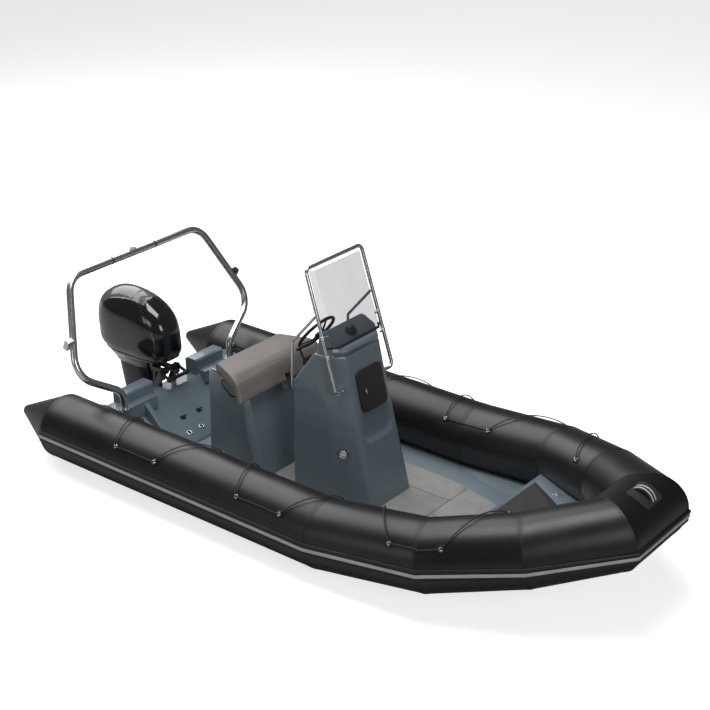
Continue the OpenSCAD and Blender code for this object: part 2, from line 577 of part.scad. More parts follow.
// ---- seat ----
seat_top = floor_z + seat_h;
function seat_plan(aft, front, wa, wf, g) = round_corners([[aft + g, -wa + g], [front - 40, -wf + g],
    [front - g, -wf + 60 + g], [front - g, wf - 60 - g], [front - 40, wf - g], [aft + g, wa - g]], 22, 3);
function seat_level(h, g) = let (t = h / seat_h)
    seat_plan(seat_x, seat_x + 590 - 200 * t, 375 - 15 * t, 425 - 35 * t, g);
module seat_base() color(grp) difference() {
    loft([for (h = [touch, seat_h]) at_z(seat_level(h, 0), floor_z + h)]);
    loft([for (h = [60, seat_h + 40]) at_z(seat_level(h, 14), floor_z + h)]);
}
seat_hinge = [seat_x - 10, 0, seat_top + 6];
module seat_lid() color(grp) {
    translate([0, 0, seat_top + 2]) linear_extrude(14)
        polygon(seat_plan(seat_x + 6, seat_x + 384, 352, 376, 0));
    translate(seat_hinge) rotate([90, 0, 0]) cylinder(d = 12, h = 420, center = true, $fn = 32);
    translate([seat_x - 12, -210, seat_top + 6]) cube([40, 420, 4]);
}
cushion_z = seat_top + 16 + touch;
cushion_x = 1147;
cushion_flare = 0.41;        // how fast the cushion widens towards its front
cushion_wa = 370;            // half width of the cushion at its back
cushion_side = [[cushion_x, cushion_z], [1456, cushion_z], [1494, cushion_z - flap_l + 60],
    [1500, cushion_z - flap_l + 54], [1544, cushion_z - flap_l + 54], [1552, cushion_z - flap_l + 62],
    [1506, cushion_z + 2], [1488, cushion_z + 40], [1462, cushion_z + cushion_t - 16],
    [1420, cushion_z + cushion_t - 2], [1400, cushion_z + cushion_t],
    [cushion_x + 18, cushion_z + cushion_t], [cushion_x, cushion_z + cushion_t - 16]];
function cushion_y(x) = cushion_wa + cushion_flare * (x - cushion_x);
module seat_cushion() color("#80797a") intersection() {
    rotate([90, 0, 0]) linear_extrude(1200, center = true) polygon(cushion_side);
    linear_extrude(big) polygon([for (q = [[cushion_x - 20, 1], [cushion_x - 20, -1], [1600, -1], [1600, 1]])
        [q[0], -q[1] * cushion_y(q[0])]]);
}
module seat_end_handles() color("#17181a") for (m = [0, 1]) mirror([0, m, 0])
    pipe([[1232, -381, seat_top - 30], [1246, -408, seat_top - 48], [1352, -416, seat_top - 122],
        [1378, -396, seat_top - 128]], 14, 16, 12);

// ---- engine ----
tilt_x = 255;
tilt_z = deck_z + cutout_h + 140;
tilt_d = 32;
pivot_fit = 0.05;
steer_x = 100;
steer_d = 36;
plate_z = tilt_z - shaft_l;
plate_in = 76;               // inner face of a clamp plate
plate_out = 90;
swivel_r = 36;
swivel_low = tilt_z - 330;
swivel_top = tilt_z + 12;
module tilt_rod(d, h) translate([tilt_x, 0, tilt_z]) rotate([90, 0, 0])
    cylinder(d = d, h = h, center = true, $fn = 48);
module clamp_bracket() color("#202124") difference() {
    union() {
        for (m = [0, 1]) mirror([0, m, 0]) slab(plate_in, plate_out, [
            [transom_x - 62, cutout_h - 300], [transom_x - touch, cutout_h - 300],
            [transom_x - touch, cutout_h + touch], [tilt_x - 14, cutout_h + touch],
            [tilt_x - 14, cutout_h + 52], [tilt_x + 16, cutout_h + 68], [tilt_x + 36, cutout_h + 100],
            [tilt_x + 36, cutout_h + 150], [tilt_x + 20, cutout_h + 172],
            [tilt_x - 20, cutout_h + 172], [tilt_x - 40, cutout_h + 140], [transom_x - 30, cutout_h + 20],
            [transom_x - 50, cutout_h - 60]]);
        slab(-plate_out, plate_out, [[transom_x - 16, cutout_h - 300], [transom_x - touch, cutout_h - 300],
            [transom_x - touch, cutout_h - 200], [transom_x - 16, cutout_h - 200]]);
    }
    tilt_rod(tilt_d + 2 * pivot_fit, 300);
}
module swivel_bracket() color("#242528") difference() {
    union() {
        translate([steer_x, 0, swivel_low]) cylinder(r = swivel_r, h = swivel_top - swivel_low, $fn = 64);
        for (y = [-68, 32]) translate([0, y, 0]) {
            translate([tilt_x, 36, tilt_z]) rotate([90, 0, 0]) cylinder(r = 30, h = 36, $fn = 48);
            translate([steer_x + 6, 0, tilt_z - 24]) cube([tilt_x - steer_x - 6, 36, 34]);
        }
        translate([steer_x, -68, tilt_z - 24]) cube([24, 136, 34]);
        tilt_rod(tilt_d, 2 * 112);
    }
    translate([steer_x, 0, swivel_low - 1]) cylinder(d = steer_d + 2 * pivot_fit, h = 400, $fn = 48);
}
cyl_x = tilt_x + 100;
cyl_z = tilt_z - 37;
module steering_cylinder() color("#1b1c1e") difference() {
    union() {
        translate([cyl_x, 0, cyl_z]) rotate([90, 0, 0]) cylinder(d = 34, h = 200, center = true, $fn = 48);
        translate([cyl_x, 0, cyl_z]) rotate([90, 0, 0]) cylinder(d = 16, h = 264, center = true, $fn = 32);
        for (m = [0, 1]) mirror([0, m, 0]) {
            translate([tilt_x, 110, tilt_z]) rotate([90, 0, 0]) cylinder(r = 24, h = 14, $fn = 48);
            translate([cyl_x, 110, cyl_z]) rotate([90, 0, 0]) cylinder(r = 22, h = 14, $fn = 48);
            translate([tilt_x, 97, tilt_z]) rotate([0, atan(37 / 100), 0]) translate([20, 0, -13]) cube([80, 12, 26]);
        }
    }
    tilt_rod(tilt_d + 0.4, 300);
}

cowl_low = tube_z + 330;
// Cowl outline at a height above its lower edge: middle, half length, half width.
cowl_levels = [[0, -55, 355, 0.86], [60, -70, 400, 0.97], [160, -80, 408, 1], [260, -88, 405, 0.99],
    [340, -98, 385, 0.94], [405, -112, 348, 0.85], [460, -126, 290, 0.73], [508, -140, 215, 0.55],
    [538, -150, 135, 0.36], [552, -155, 60, 0.16]];
function cowl_ring(l, g) = at_z(oval(l[1], l[2] - g, cowl_w * l[3] - g, 0.78), cowl_low + l[0]);
function cowl_inner(l, dz) = [for (p = cowl_ring(l, cowl_wall)) p - [0, 0, dz]];
module engine_cowl() color("#0f0f10") difference() {
    loft([for (l = cowl_levels) cowl_ring(l, 0)]);
    loft(concat([cowl_inner(cowl_levels[0], 20)], [for (i = [1:7]) cowl_inner(cowl_levels[i], cowl_wall)]));
}
module engine_block() color("#3a3c3e") translate([-300, -125, cowl_low + 8]) cube([480, 250, 350]);
// Upper and lower arms that hold the leg on the steering pin, grown by g.
arm_up = [swivel_low - 46, swivel_top + 6];
arm_t = [40, 34];
module steering_arm(k, g) translate([0, 0, arm_up[k] - g]) {
    translate([-20 - g, -30 - g, 0]) cube([steer_x + 20 + g, 60 + 2 * g, arm_t[k] + 2 * g]);
    translate([steer_x, 0, 0]) cylinder(r = 30 + g, h = arm_t[k] + 2 * g, $fn = 48);
}
module engine_pan() color("#141415") difference() {
    loft([at_z(oval(-160, 190, 74, 0.8), cowl_low - 150), at_z(oval(-170, 215, 104, 0.8), cowl_low - 90),
        at_z(oval(-150, 255, 138, 0.8), cowl_low - 52), at_z(oval(-80, 335, 160, 0.8), cowl_low - 34),
        at_z(oval(-58, 358, cowl_w * 0.87, 0.78), cowl_low - touch)]);
    steering_arm(1, touch);
}
leg_top = cowl_low - 150 - touch;
module engine_leg() color("#141415") {
    loft([at_z(oval(-76, 96, 36, 0.8, 20), plate_z + 12), at_z(oval(-84, 118, 44, 0.8, 20), plate_z + 180),
        at_z(oval(-118, 150, 58, 0.8, 20), plate_z + 420), at_z(oval(-150, 180, 70, 0.8, 20), leg_top)]);
    steering_arm(0, 0);
    steering_arm(1, 0);
    translate([steer_x, 0, swivel_low - 20]) cylinder(d = steer_d, h = swivel_top - swivel_low + 40, $fn = 48);
}
shaft_drop = prop_d / 2 + 35;
prop_z = plate_z - shaft_drop;
case_aft = -235;
module gearcase() color("#141415") {
    translate([0, 0, plate_z]) linear_extrude(9) polygon([[-350, -70], [-300, -112], [-120, -112], [-40, -70],
        [40, -30], [60, 0], [40, 30], [-40, 70], [-120, 112], [-300, 112], [-350, 70]]);
    loft([at_z(oval(-70, 120, 26, 0.85, 20), prop_z + 20), at_z(oval(-74, 104, 30, 0.85, 20), plate_z + 12 - touch)]);
    translate([case_aft, 0, prop_z]) rotate([0, 90, 0]) rotate_extrude($fn = 48) polygon([[0, 0], [44, 0], [50, 60],
        [54, 150], [52, 250], [40, 320], [22, 355], [0, 366]]);
    translate([0, 5, prop_z]) rotate([90, 0, 0]) linear_extrude(10) polygon([[-150, -40], [70, -40], [20, -130],
        [-60, -168], [-120, -168], [-140, -120]]);
    translate([case_aft - 112, 0, prop_z]) rotate([0, 90, 0]) cylinder(d = 26, h = 130, $fn = 32);
}
hub_r = 46;
hub_l = 104;
function blade_ring(t) = let (r = mix(hub_r - 12, prop_d / 2, t), chord = 60 + 90 * sin(min(1, t * 1.15) * 150),
        pitch = atan(430 / (2 * PI * r)), thick = mix(9, 2.4, t))
    [for (k = [0:7]) let (a = 360 * k / 8, c = chord / 2 * cos(a), h = thick * sin(a))
        [c * sin(pitch) - h * cos(pitch), c * cos(pitch) + h * sin(pitch) + 16 * t, r]];
module propeller() color("#3d4043") translate([case_aft - 3 - hub_l / 2, 0, prop_z]) difference() {
    union() {
        rotate([0, 90, 0]) cylinder(r1 = hub_r - 6, r2 = hub_r, h = hub_l, center = true, $fn = 48);
        for (b = [0:blade_count - 1]) rotate([360 * b / blade_count, 0, 0]) loft([for (t = [0, 0.2, 0.45, 0.7, 0.88, 1])
            blade_ring(t)]);
    }
    rotate([0, 90, 0]) cylinder(d = 26 + 2 * pivot_fit, h = 200, center = true, $fn = 32);
}

hull();
deck();
floor_panels();
transom_moulding();
starboard_tube();
port_tube();
starboard_shoulder_tube();
port_shoulder_tube();
bow_tube();
rub_strake();
strake_stripe();
bow_handle();
bow_locker();
bow_locker_lid();
console();
console_cap();
console_hatch();
dashboard();
compass_dome();
throttle_control();
windscreen();
windscreen_frame();
console_grab_rails();
steering_wheel();
seat_base();
seat_lid();
seat_cushion();
seat_end_handles();
roll_bar();
stern_light();
starboard_lifeline();
port_lifeline();
lifeline_pads();
clamp_bracket();
swivel_bracket();
steering_cylinder();
engine_cowl();
engine_pan();
engine_block();
engine_leg();
gearcase();
propeller();
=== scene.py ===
import math
import bpy
import bmesh
from mathutils import Matrix, Vector, noise


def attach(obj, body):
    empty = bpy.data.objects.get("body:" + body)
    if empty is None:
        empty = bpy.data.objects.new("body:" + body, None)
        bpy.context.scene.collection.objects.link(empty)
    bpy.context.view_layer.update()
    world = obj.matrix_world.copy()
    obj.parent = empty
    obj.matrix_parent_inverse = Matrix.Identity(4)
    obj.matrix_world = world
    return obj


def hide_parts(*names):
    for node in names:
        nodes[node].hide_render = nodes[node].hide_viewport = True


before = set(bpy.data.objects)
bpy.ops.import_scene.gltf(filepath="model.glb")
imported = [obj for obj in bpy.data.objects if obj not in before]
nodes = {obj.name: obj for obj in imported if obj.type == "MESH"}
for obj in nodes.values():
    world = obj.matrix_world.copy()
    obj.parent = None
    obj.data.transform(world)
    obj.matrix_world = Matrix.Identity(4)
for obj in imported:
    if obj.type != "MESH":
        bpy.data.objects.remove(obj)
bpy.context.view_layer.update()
scene = bpy.context.scene

# ---------------------------------------------------------------- camera and floor
cam = bpy.data.objects.new("camera", bpy.data.cameras.new("camera"))
scene.collection.objects.link(cam)
cam.location = (9.0863, -8.6358, 6.2857)
cam.rotation_euler = (math.radians(65.251), 0, math.radians(38.283))
cam.data.sensor_width = 36
cam.data.lens = 80.58
scene.camera = cam


# ---------------------------------------------------------------- materials
def srgb(r, g, b):
    """Linear colour from 0-255 values."""
    out = []
    for c in (r, g, b):
        c = c / 255
        out.append(c / 12.92 if c <= 0.04045 else ((c + 0.055) / 1.055) ** 2.4)
    return (*out, 1.0)


def surface_group():
    """Colour mottling, roughness variation and a fine grain, from object coordinates."""
    g = bpy.data.node_groups.new("Surface", "ShaderNodeTree")
    face = g.interface
    for name, kind in (
        ("Color", "NodeSocketColor"),
        ("Second", "NodeSocketColor"),
        ("Mottle Scale", "NodeSocketFloat"),
        ("Roughness", "NodeSocketFloat"),
        ("Rough Range", "NodeSocketFloat"),
        ("Grain Scale", "NodeSocketFloat"),
        ("Grain Depth", "NodeSocketFloat"),
        ("Wave Scale", "NodeSocketFloat"),
        ("Wave Depth", "NodeSocketFloat"),
    ):
        face.new_socket(name, in_out="INPUT", socket_type=kind)
    face.new_socket("Color", in_out="OUTPUT", socket_type="NodeSocketColor")
    face.new_socket("Roughness", in_out="OUTPUT", socket_type="NodeSocketFloat")
    face.new_socket("Normal", in_out="OUTPUT", socket_type="NodeSocketVector")
    n = g.nodes
    ins = n.new("NodeGroupInput")
    outs = n.new("NodeGroupOutput")
    co = n.new("ShaderNodeTexCoord")
    mottle = n.new("ShaderNodeTexNoise")
    mottle.inputs["Detail"].default_value = 4
    mottle.inputs["Roughness"].default_value = 0.6
    grain = n.new("ShaderNodeTexNoise")
    grain.inputs["Detail"].default_value = 2
    wave = n.new("ShaderNodeTexNoise")
    wave.inputs["Detail"].default_value = 1
    for tex, size in ((mottle, "Mottle Scale"), (grain, "Grain Scale"), (wave, "Wave Scale")):
        g.links.new(co.outputs["Object"], tex.inputs["Vector"])
        g.links.new(ins.outputs[size], tex.inputs["Scale"])
    ramp = n.new("ShaderNodeMapRange")
    ramp.inputs["From Min"].default_value = 0.35
    ramp.inputs["From Max"].default_value = 0.7
    g.links.new(mottle.outputs["Fac"], ramp.inputs["Value"])
    mix = n.new("ShaderNodeMix")
    mix.data_type = "RGBA"
    g.links.new(ramp.outputs["Result"], mix.inputs["Factor"])
    g.links.new(ins.outputs["Color"], mix.inputs["A"])
    g.links.new(ins.outputs["Second"], mix.inputs["B"])
    g.links.new(mix.outputs["Result"], outs.inputs["Color"])
    rough = n.new("ShaderNodeMath")
    rough.operation = "MULTIPLY_ADD"
    g.links.new(ramp.outputs["Result"], rough.inputs[0])
    g.links.new(ins.outputs["Rough Range"], rough.inputs[1])
    g.links.new(ins.outputs["Roughness"], rough.inputs[2])
    g.links.new(rough.outputs["Value"], outs.inputs["Roughness"])
    low = n.new("ShaderNodeBump")
    fine = n.new("ShaderNodeBump")
    g.links.new(wave.outputs["Fac"], low.inputs["Height"])
    g.links.new(ins.outputs["Wave Depth"], low.inputs["Distance"])
    g.links.new(grain.outputs["Fac"], fine.inputs["Height"])
    g.links.new(ins.outputs["Grain Depth"], fine.inputs["Distance"])
    g.links.new(low.outputs["Normal"], fine.inputs["Normal"])
    g.links.new(fine.outputs["Normal"], outs.inputs["Normal"])
    return g


SURFACE = surface_group()


def material(name, color, second, rough, spread=0.08, metal=0.0, coat=0.0, mottle=6.0,
             grain=600.0, depth=0.0001, wave=3.0, wave_depth=0.0, spec=0.5, sheen=0.0):
    """A Principled material fed by the shared surface group."""
    m = bpy.data.materials.new(name)
    m.use_nodes = True
    nt = m.node_tree
    bsdf = nt.nodes["Principled BSDF"]
    g = nt.nodes.new("ShaderNodeGroup")
    g.node_tree = SURFACE
    g.inputs["Color"].default_value = color
    g.inputs["Second"].default_value = second
    g.inputs["Mottle Scale"].default_value = mottle
    g.inputs["Roughness"].default_value = rough
    g.inputs["Rough Range"].default_value = spread
    g.inputs["Grain Scale"].default_value = grain
    g.inputs["Grain Depth"].default_value = depth
    g.inputs["Wave Scale"].default_value = wave
    g.inputs["Wave Depth"].default_value = wave_depth
    nt.links.new(g.outputs["Color"], bsdf.inputs["Base Color"])
    nt.links.new(g.outputs["Roughness"], bsdf.inputs["Roughness"])
    nt.links.new(g.outputs["Normal"], bsdf.inputs["Normal"])
    bsdf.inputs["Metallic"].default_value = metal
    bsdf.inputs["Coat Weight"].default_value = coat
    bsdf.inputs["Coat Roughness"].default_value = 0.06
    bsdf.inputs["Specular IOR Level"].default_value = spec
    bsdf.inputs["Sheen Weight"].default_value = sheen
    return m


TUBE = material("tube_fabric", srgb(11, 11, 12), srgb(16, 16, 17), 0.34, 0.08, mottle=2.5,
                grain=1400, depth=0.00012, wave=5, wave_depth=0.0012, spec=0.62)
TAPE = material("tube_tape", srgb(9, 9, 10), srgb(14, 14, 15), 0.42, 0.08, mottle=4,
                grain=1400, depth=0.00014, spec=0.55)
PATCH = material("handle_patch", srgb(44, 44, 44), srgb(50, 50, 50), 0.55, 0.08, mottle=9,
                 grain=900, depth=0.00025)
STRAKE = material("strake_rubber", srgb(17, 17, 17), srgb(26, 26, 26), 0.4, 0.12, mottle=8,
                  grain=900, depth=0.0002)
STRIPE = material("stripe", srgb(196, 197, 197), srgb(176, 177, 178), 0.42, 0.1, mottle=7,
                  grain=700, depth=0.0001)
GEL = material("gelcoat", srgb(109, 123, 131), srgb(106, 120, 128), 0.24, 0.1, coat=0.45,
               mottle=1.4, grain=420, depth=0.00004, wave=2.2, wave_depth=0.0006)
GEL_DECK = material("deck_gelcoat", srgb(116, 130, 137), srgb(107, 121, 128), 0.4, 0.12,
                    mottle=4, grain=520, depth=0.0006)
FLOOR = material("floor_panel", srgb(158, 158, 156), srgb(146, 146, 144), 0.62, 0.1,
                 mottle=8, grain=420, depth=0.001)
DARK = material("dark_plastic", srgb(42, 42, 43), srgb(49, 49, 50), 0.48, 0.1, mottle=8,
                grain=1300, depth=0.00035)
BLACK = material("black_moulding", srgb(22, 22, 23), srgb(28, 28, 29), 0.36, 0.12, mottle=9,
                 grain=1100, depth=0.0002)
STEEL = material("stainless", srgb(226, 227, 228), srgb(212, 214, 215), 0.22, 0.08, metal=1,
                 mottle=18, grain=900, depth=0.00003)
CHROME = material("chrome", srgb(232, 233, 234), srgb(220, 221, 222), 0.2, 0.06, metal=1,
                  mottle=22, grain=900, depth=0.00002)
VINYL = material("cushion_vinyl", srgb(122, 116, 111), srgb(114, 108, 103), 0.5, 0.1,
                 mottle=5, grain=850, depth=0.0004, wave=9, wave_depth=0.001, sheen=0.08)
PIPING = material("cushion_piping", srgb(108, 102, 97), srgb(99, 93, 88), 0.5, 0.1,
                  mottle=20, grain=1200, depth=0.0002)
PAINT = material("engine_paint", srgb(20, 20, 21), srgb(24, 24, 25), 0.14, 0.05, coat=1,
                 mottle=4, grain=500, depth=0.00001)
# Painted reflection: a lighter grey set on the gloss black cowl's top panels, standing in for the reflection of the
# overhead light.
COWL_TOP_PAINTED_REFLECTION = material("engine_top_painted_reflection", srgb(88, 89, 90), srgb(95, 96, 97), 0.2, 0.05, coat=1,
                       mottle=4, grain=700, depth=0.00002)
LEG = material("engine_leg", srgb(26, 26, 27), srgb(32, 32, 33), 0.3, 0.1, coat=0.4,
               mottle=5, grain=600, depth=0.00006)
METAL = material("dark_metal", srgb(44, 45, 47), srgb(58, 59, 61), 0.38, 0.14, metal=0.55,
                 mottle=14, grain=800, depth=0.0001)
ROPE = material("rope", srgb(24, 24, 25), srgb(70, 70, 70), 0.6, 0.1, mottle=420,
                grain=2600, depth=0.0003)
FACE = material("gauge_face", srgb(12, 12, 13), srgb(16, 16, 17), 0.3, 0.05, coat=0.6,
                mottle=30, grain=500, depth=0.00001)
PALE = material("pale_plastic", srgb(206, 206, 204), srgb(192, 192, 190), 0.4, 0.1,
                mottle=30, grain=700, depth=0.00005)


def screen_material():
    """Smoky clear sheet: most light passes straight through, with a thin sheen on top."""
    m = bpy.data.materials.new("smoky_sheet")
    m.use_nodes = True
    nt = m.node_tree
    b = nt.nodes["Principled BSDF"]
    co = nt.nodes.new("ShaderNodeTexCoord")
    noise_tex = nt.nodes.new("ShaderNodeTexNoise")
    noise_tex.inputs["Scale"].default_value = 7
    tint = nt.nodes.new("ShaderNodeMix")
    tint.data_type = "RGBA"
    tint.inputs["A"].default_value = (0.68, 0.68, 0.69, 1)
    tint.inputs["B"].default_value = (0.72, 0.72, 0.73, 1)
    clear = nt.nodes.new("ShaderNodeBsdfTransparent")
    facing = nt.nodes.new("ShaderNodeLayerWeight")
    facing.inputs["Blend"].default_value = 0.3
    rim = nt.nodes.new("ShaderNodeMath")
    rim.operation = "MULTIPLY_ADD"
    rim.inputs[1].default_value = 0.22
    rim.inputs[2].default_value = 0.03
    nt.links.new(facing.outputs["Facing"], rim.inputs[0])
    mix = nt.nodes.new("ShaderNodeMixShader")
    b.inputs["Base Color"].default_value = (0.3, 0.3, 0.31, 1)
    b.inputs["Roughness"].default_value = 0.12
    nt.links.new(co.outputs["Object"], noise_tex.inputs["Vector"])
    nt.links.new(noise_tex.outputs["Fac"], tint.inputs["Factor"])
    nt.links.new(tint.outputs["Result"], clear.inputs["Color"])
    nt.links.new(rim.outputs[0], mix.inputs[0])
    nt.links.new(clear.outputs[0], mix.inputs[1])
    nt.links.new(b.outputs[0], mix.inputs[2])
    nt.links.new(mix.outputs[0], nt.nodes["Material Output"].inputs["Surface"])
    return m


SCREEN = screen_material()


# ---------------------------------------------------------------- helpers
def put(name, bm, mat, body="boat", replaces=(), angle=32, bevel=0.0, seg=2, sub=0):
    """Links a bmesh as a finished piece that rides on a body."""
    bmesh.ops.recalc_face_normals(bm, faces=bm.faces)
    me = bpy.data.meshes.new(name)
    bm.to_mesh(me)
    bm.free()
    me.shade_smooth()
    if angle < 180:
        me.set_sharp_from_angle(angle=math.radians(angle))
    ob = bpy.data.objects.new(name, me)
    scene.collection.objects.link(ob)
    mats = mat if isinstance(mat, (list, tuple)) else [mat]
    for m in mats:
        me.materials.append(m)
    if bevel:
        add_bevel(ob, bevel, seg)
    if sub:
        s = ob.modifiers.new("Subdivision", "SUBSURF")
        s.levels = sub
        s.render_levels = sub
    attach(ob, body)
    if replaces:
        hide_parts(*replaces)
    return ob


def add_bevel(ob, width, seg=2, angle=34):
    b = ob.modifiers.new("Bevel", "BEVEL")
    b.width = width
    b.segments = seg
    b.limit_method = "ANGLE"
    b.angle_limit = math.radians(angle)
    b.harden_normals = False
    return b


def shade_group():
    """Geometry nodes that shade smooth and leave edges over an angle sharp."""
    g = bpy.data.node_groups.new("Shade By Angle", "GeometryNodeTree")
    g.interface.new_socket("Geometry", in_out="INPUT", socket_type="NodeSocketGeometry")
    g.interface.new_socket("Geometry", in_out="OUTPUT", socket_type="NodeSocketGeometry")
    n = g.nodes
    a = n.new("NodeGroupInput")
    z = n.new("NodeGroupOutput")
    face = n.new("GeometryNodeSetShadeSmooth")
    face.domain = "FACE"
    edge = n.new("GeometryNodeSetShadeSmooth")
    edge.domain = "EDGE"
    ang = n.new("GeometryNodeInputMeshEdgeAngle")
    cmp = n.new("FunctionNodeCompare")
    cmp.operation = "LESS_THAN"
    cmp.inputs["B"].default_value = math.radians(30)
    g.links.new(a.outputs[0], face.inputs["Geometry"])
    g.links.new(face.outputs["Geometry"], edge.inputs["Geometry"])
    g.links.new(ang.outputs["Unsigned Angle"], cmp.inputs["A"])
    g.links.new(cmp.outputs["Result"], edge.inputs["Shade Smooth"])
    g.links.new(edge.outputs["Geometry"], z.inputs[0])
    return g


SHADE = shade_group()


def finish_node(name, mat, bevel=0.0, seg=2):
    """A CAD node that stays: its material, welded corners, softened edges."""
    ob = nodes[name]
    ob.data.materials.clear()
    ob.data.materials.append(mat)
    w = ob.modifiers.new("Weld", "WELD")
    w.merge_threshold = 0.00002
    if bevel:
        add_bevel(ob, bevel, seg)
    s = ob.modifiers.new("Shade", "NODES")
    s.node_group = SHADE
    return ob


def add_ring(bm, pts):
    vs = [bm.verts.new(p) for p in pts]
    return [bm.edges.new((vs[i], vs[(i + 1) % len(vs)])) for i in range(len(vs))]


def loft(rings, caps=True):
    """Closed skin through rings of equally many points."""
    bm = bmesh.new()
    loops = [add_ring(bm, r) for r in rings]
    for a, b in zip(loops, loops[1:]):
        bmesh.ops.bridge_loops(bm, edges=a + b)
    if caps:
        for e in (loops[0], loops[-1]):
            bmesh.ops.contextual_create(bm, geom=e)
    return bm


def unit(v):
    return v.normalized()


def aim(pos, z, x=None):
    """Matrix that puts +Z along z at pos."""
    z = unit(Vector(z))
    x = Vector(x) if x is not None else (Vector((0, 0, 1)) if abs(z.z) < 0.9 else Vector((1, 0, 0)))
    x = unit(x - z * x.dot(z))
    y = z.cross(x)
    m = Matrix((x, y, z)).transposed().to_4x4()
    m.translation = Vector(pos)
    return m


def add_disc(bm, m, r1, r2, h, n=40):
    """Cone or cylinder from the frame's origin up its Z."""
    bmesh.ops.create_cone(bm, cap_ends=True, segments=n, radius1=r1, radius2=r2, depth=h,
                          matrix=m @ Matrix.Translation((0, 0, h / 2)))


def add_box(bm, m, sx, sy, sz):
    bmesh.ops.create_cube(bm, size=1, matrix=m @ Matrix.Diagonal((sx, sy, sz, 1)))


def add_torus(bm, m, big, small, n=32, k=12):
    """Ring in the frame's XY plane, spun from a small circle."""
    c = bmesh.ops.create_circle(bm, segments=k, radius=small,
                                matrix=m @ Matrix.Translation((big, 0, 0)) @ Matrix.Rotation(math.pi / 2, 4, "X"))
    vs = c["verts"]
    es = list({e for v in vs for e in v.link_edges})
    bmesh.ops.spin(bm, geom=vs + es, cent=m.translation, axis=m.to_3x3() @ Vector((0, 0, 1)),
                   angle=2 * math.pi, steps=n, use_merge=True)


def join_add(bm, other):
    me = bpy.data.meshes.new("tmp")
    other.to_mesh(me)
    other.free()
    bm.from_mesh(me)
    bpy.data.meshes.remove(me)


# ---------------------------------------------------------------- tube geometry
TUBE_R = 0.265
P = [Vector(p) for p in ((0, -0.977, 0.285), (2.766, -0.977, 0.285), (3.624, -0.893, 0.388),
                         (4.228, -0.597, 0.514), (4.690, -0.231, 0.644))]
PATH = P + [Vector((p.x, -p.y, p.z)) for p in reversed(P)]


def seg_dir(i):
    return unit(PATH[i + 1] - PATH[i])


def mitre(i):
    if i == 0:
        return seg_dir(0)
    if i == 9:
        return seg_dir(8)
    return unit(seg_dir(i - 1) + seg_dir(i))


def seg_frame(i):
    d = seg_dir(i)
    out = unit(Vector((d.y, -d.x, 0)))
    return d, out, out.cross(d)


def surf(s, b, r):
    """Point at path position s, angle b degrees from the outward side, r from the axis."""
    i = min(int(s), 8)
    d, out, up = seg_frame(i)
    t = s - i
    ends = []
    for k in (i, i + 1):
        m = mitre(k)
        v = out * (r * math.cos(math.radians(b))) + up * (r * math.sin(math.radians(b)))
        ends.append(PATH[k] + v - d * (v.dot(m) / d.dot(m)))
    return ends[0].lerp(ends[1], t)


def run_between(bm, i, lo, hi, r, n=128, rings=0):
    """Open tube along segment i between two cutting planes (point, normal)."""
    d = seg_dir(i)
    a = PATH[i] - d * 0.6
    length = (PATH[i + 1] - PATH[i]).length + 1.2
    t = bmesh.new()
    bmesh.ops.create_cone(t, cap_ends=False, segments=n, radius1=r, radius2=r, depth=length,
                          matrix=aim(a, d) @ Matrix.Translation((0, 0, length / 2)))
    for (co, no), keep in ((lo, False), (hi, True)):
        geom = t.verts[:] + t.edges[:] + t.faces[:]
        bmesh.ops.bisect_plane(t, geom=geom, dist=1e-6, plane_co=co, plane_no=no,
                               clear_inner=not keep, clear_outer=keep)
    for k in range(rings):
        co = PATH[i].lerp(PATH[i + 1], (k + 1) / (rings + 1))
        geom = t.verts[:] + t.edges[:] + t.faces[:]
        bmesh.ops.bisect_plane(t, geom=geom, dist=1e-6, plane_co=co, plane_no=d)
    join_add(bm, t)


def soften(bm, i, amount=0.0011):
    """Very slight unevenness of the inflated skin, none at the seams."""
    d = seg_dir(i)
    length = (PATH[i + 1] - PATH[i]).length
    for v in bm.verts:
        along = (v.co - PATH[i]).dot(d)
        foot = PATH[i] + d * along
        fade = min(1, max(0, min(along, length - along) / 0.25))
        lift = noise.noise(v.co * 2.3) * amount * fade
        v.co += unit(v.co - foot) * lift


def straight_tube(side):
    bm = bmesh.new()
    i = 0 if side < 0 else 8
    run_between(bm, i, (PATH[i], mitre(i)), (PATH[i + 1], mitre(i + 1)), TUBE_R, rings=20)
    soften(bm, i)
    # Blunt stern cone.
    root = PATH[0] if side < 0 else PATH[9]
    lean = math.atan((TUBE_R - 0.048) / 0.485)
    prof = [(TUBE_R, 0), (TUBE_R - 0.0025, 0.012), (0.20, 0.148)]
    prof = [(TUBE_R, 0)]
    for k in range(1, 7):
        t = k / 7
        prof.append((TUBE_R + (0.048 * math.cos(lean) - TUBE_R) * t, (0.437 + 0.048 * math.sin(lean)) * t))
    for k in range(8):
        a = lean + (math.pi / 2 - lean) * k / 7
        prof.append((max(0.0004, 0.048 * math.cos(a)), 0.437 + 0.048 * math.sin(a)))
    c = bmesh.new()
    vs = [c.verts.new(root + Vector((-x, 0, r))) for r, x in prof]
    es = [c.edges.new((vs[k], vs[k + 1])) for k in range(len(vs) - 1)]
    bmesh.ops.spin(c, geom=vs + es, cent=root, axis=(1, 0, 0), angle=2 * math.pi, steps=128, use_merge=True)
    join_add(bm, c)
    bmesh.ops.remove_doubles(bm, verts=bm.verts, dist=0.0003)
    return bm


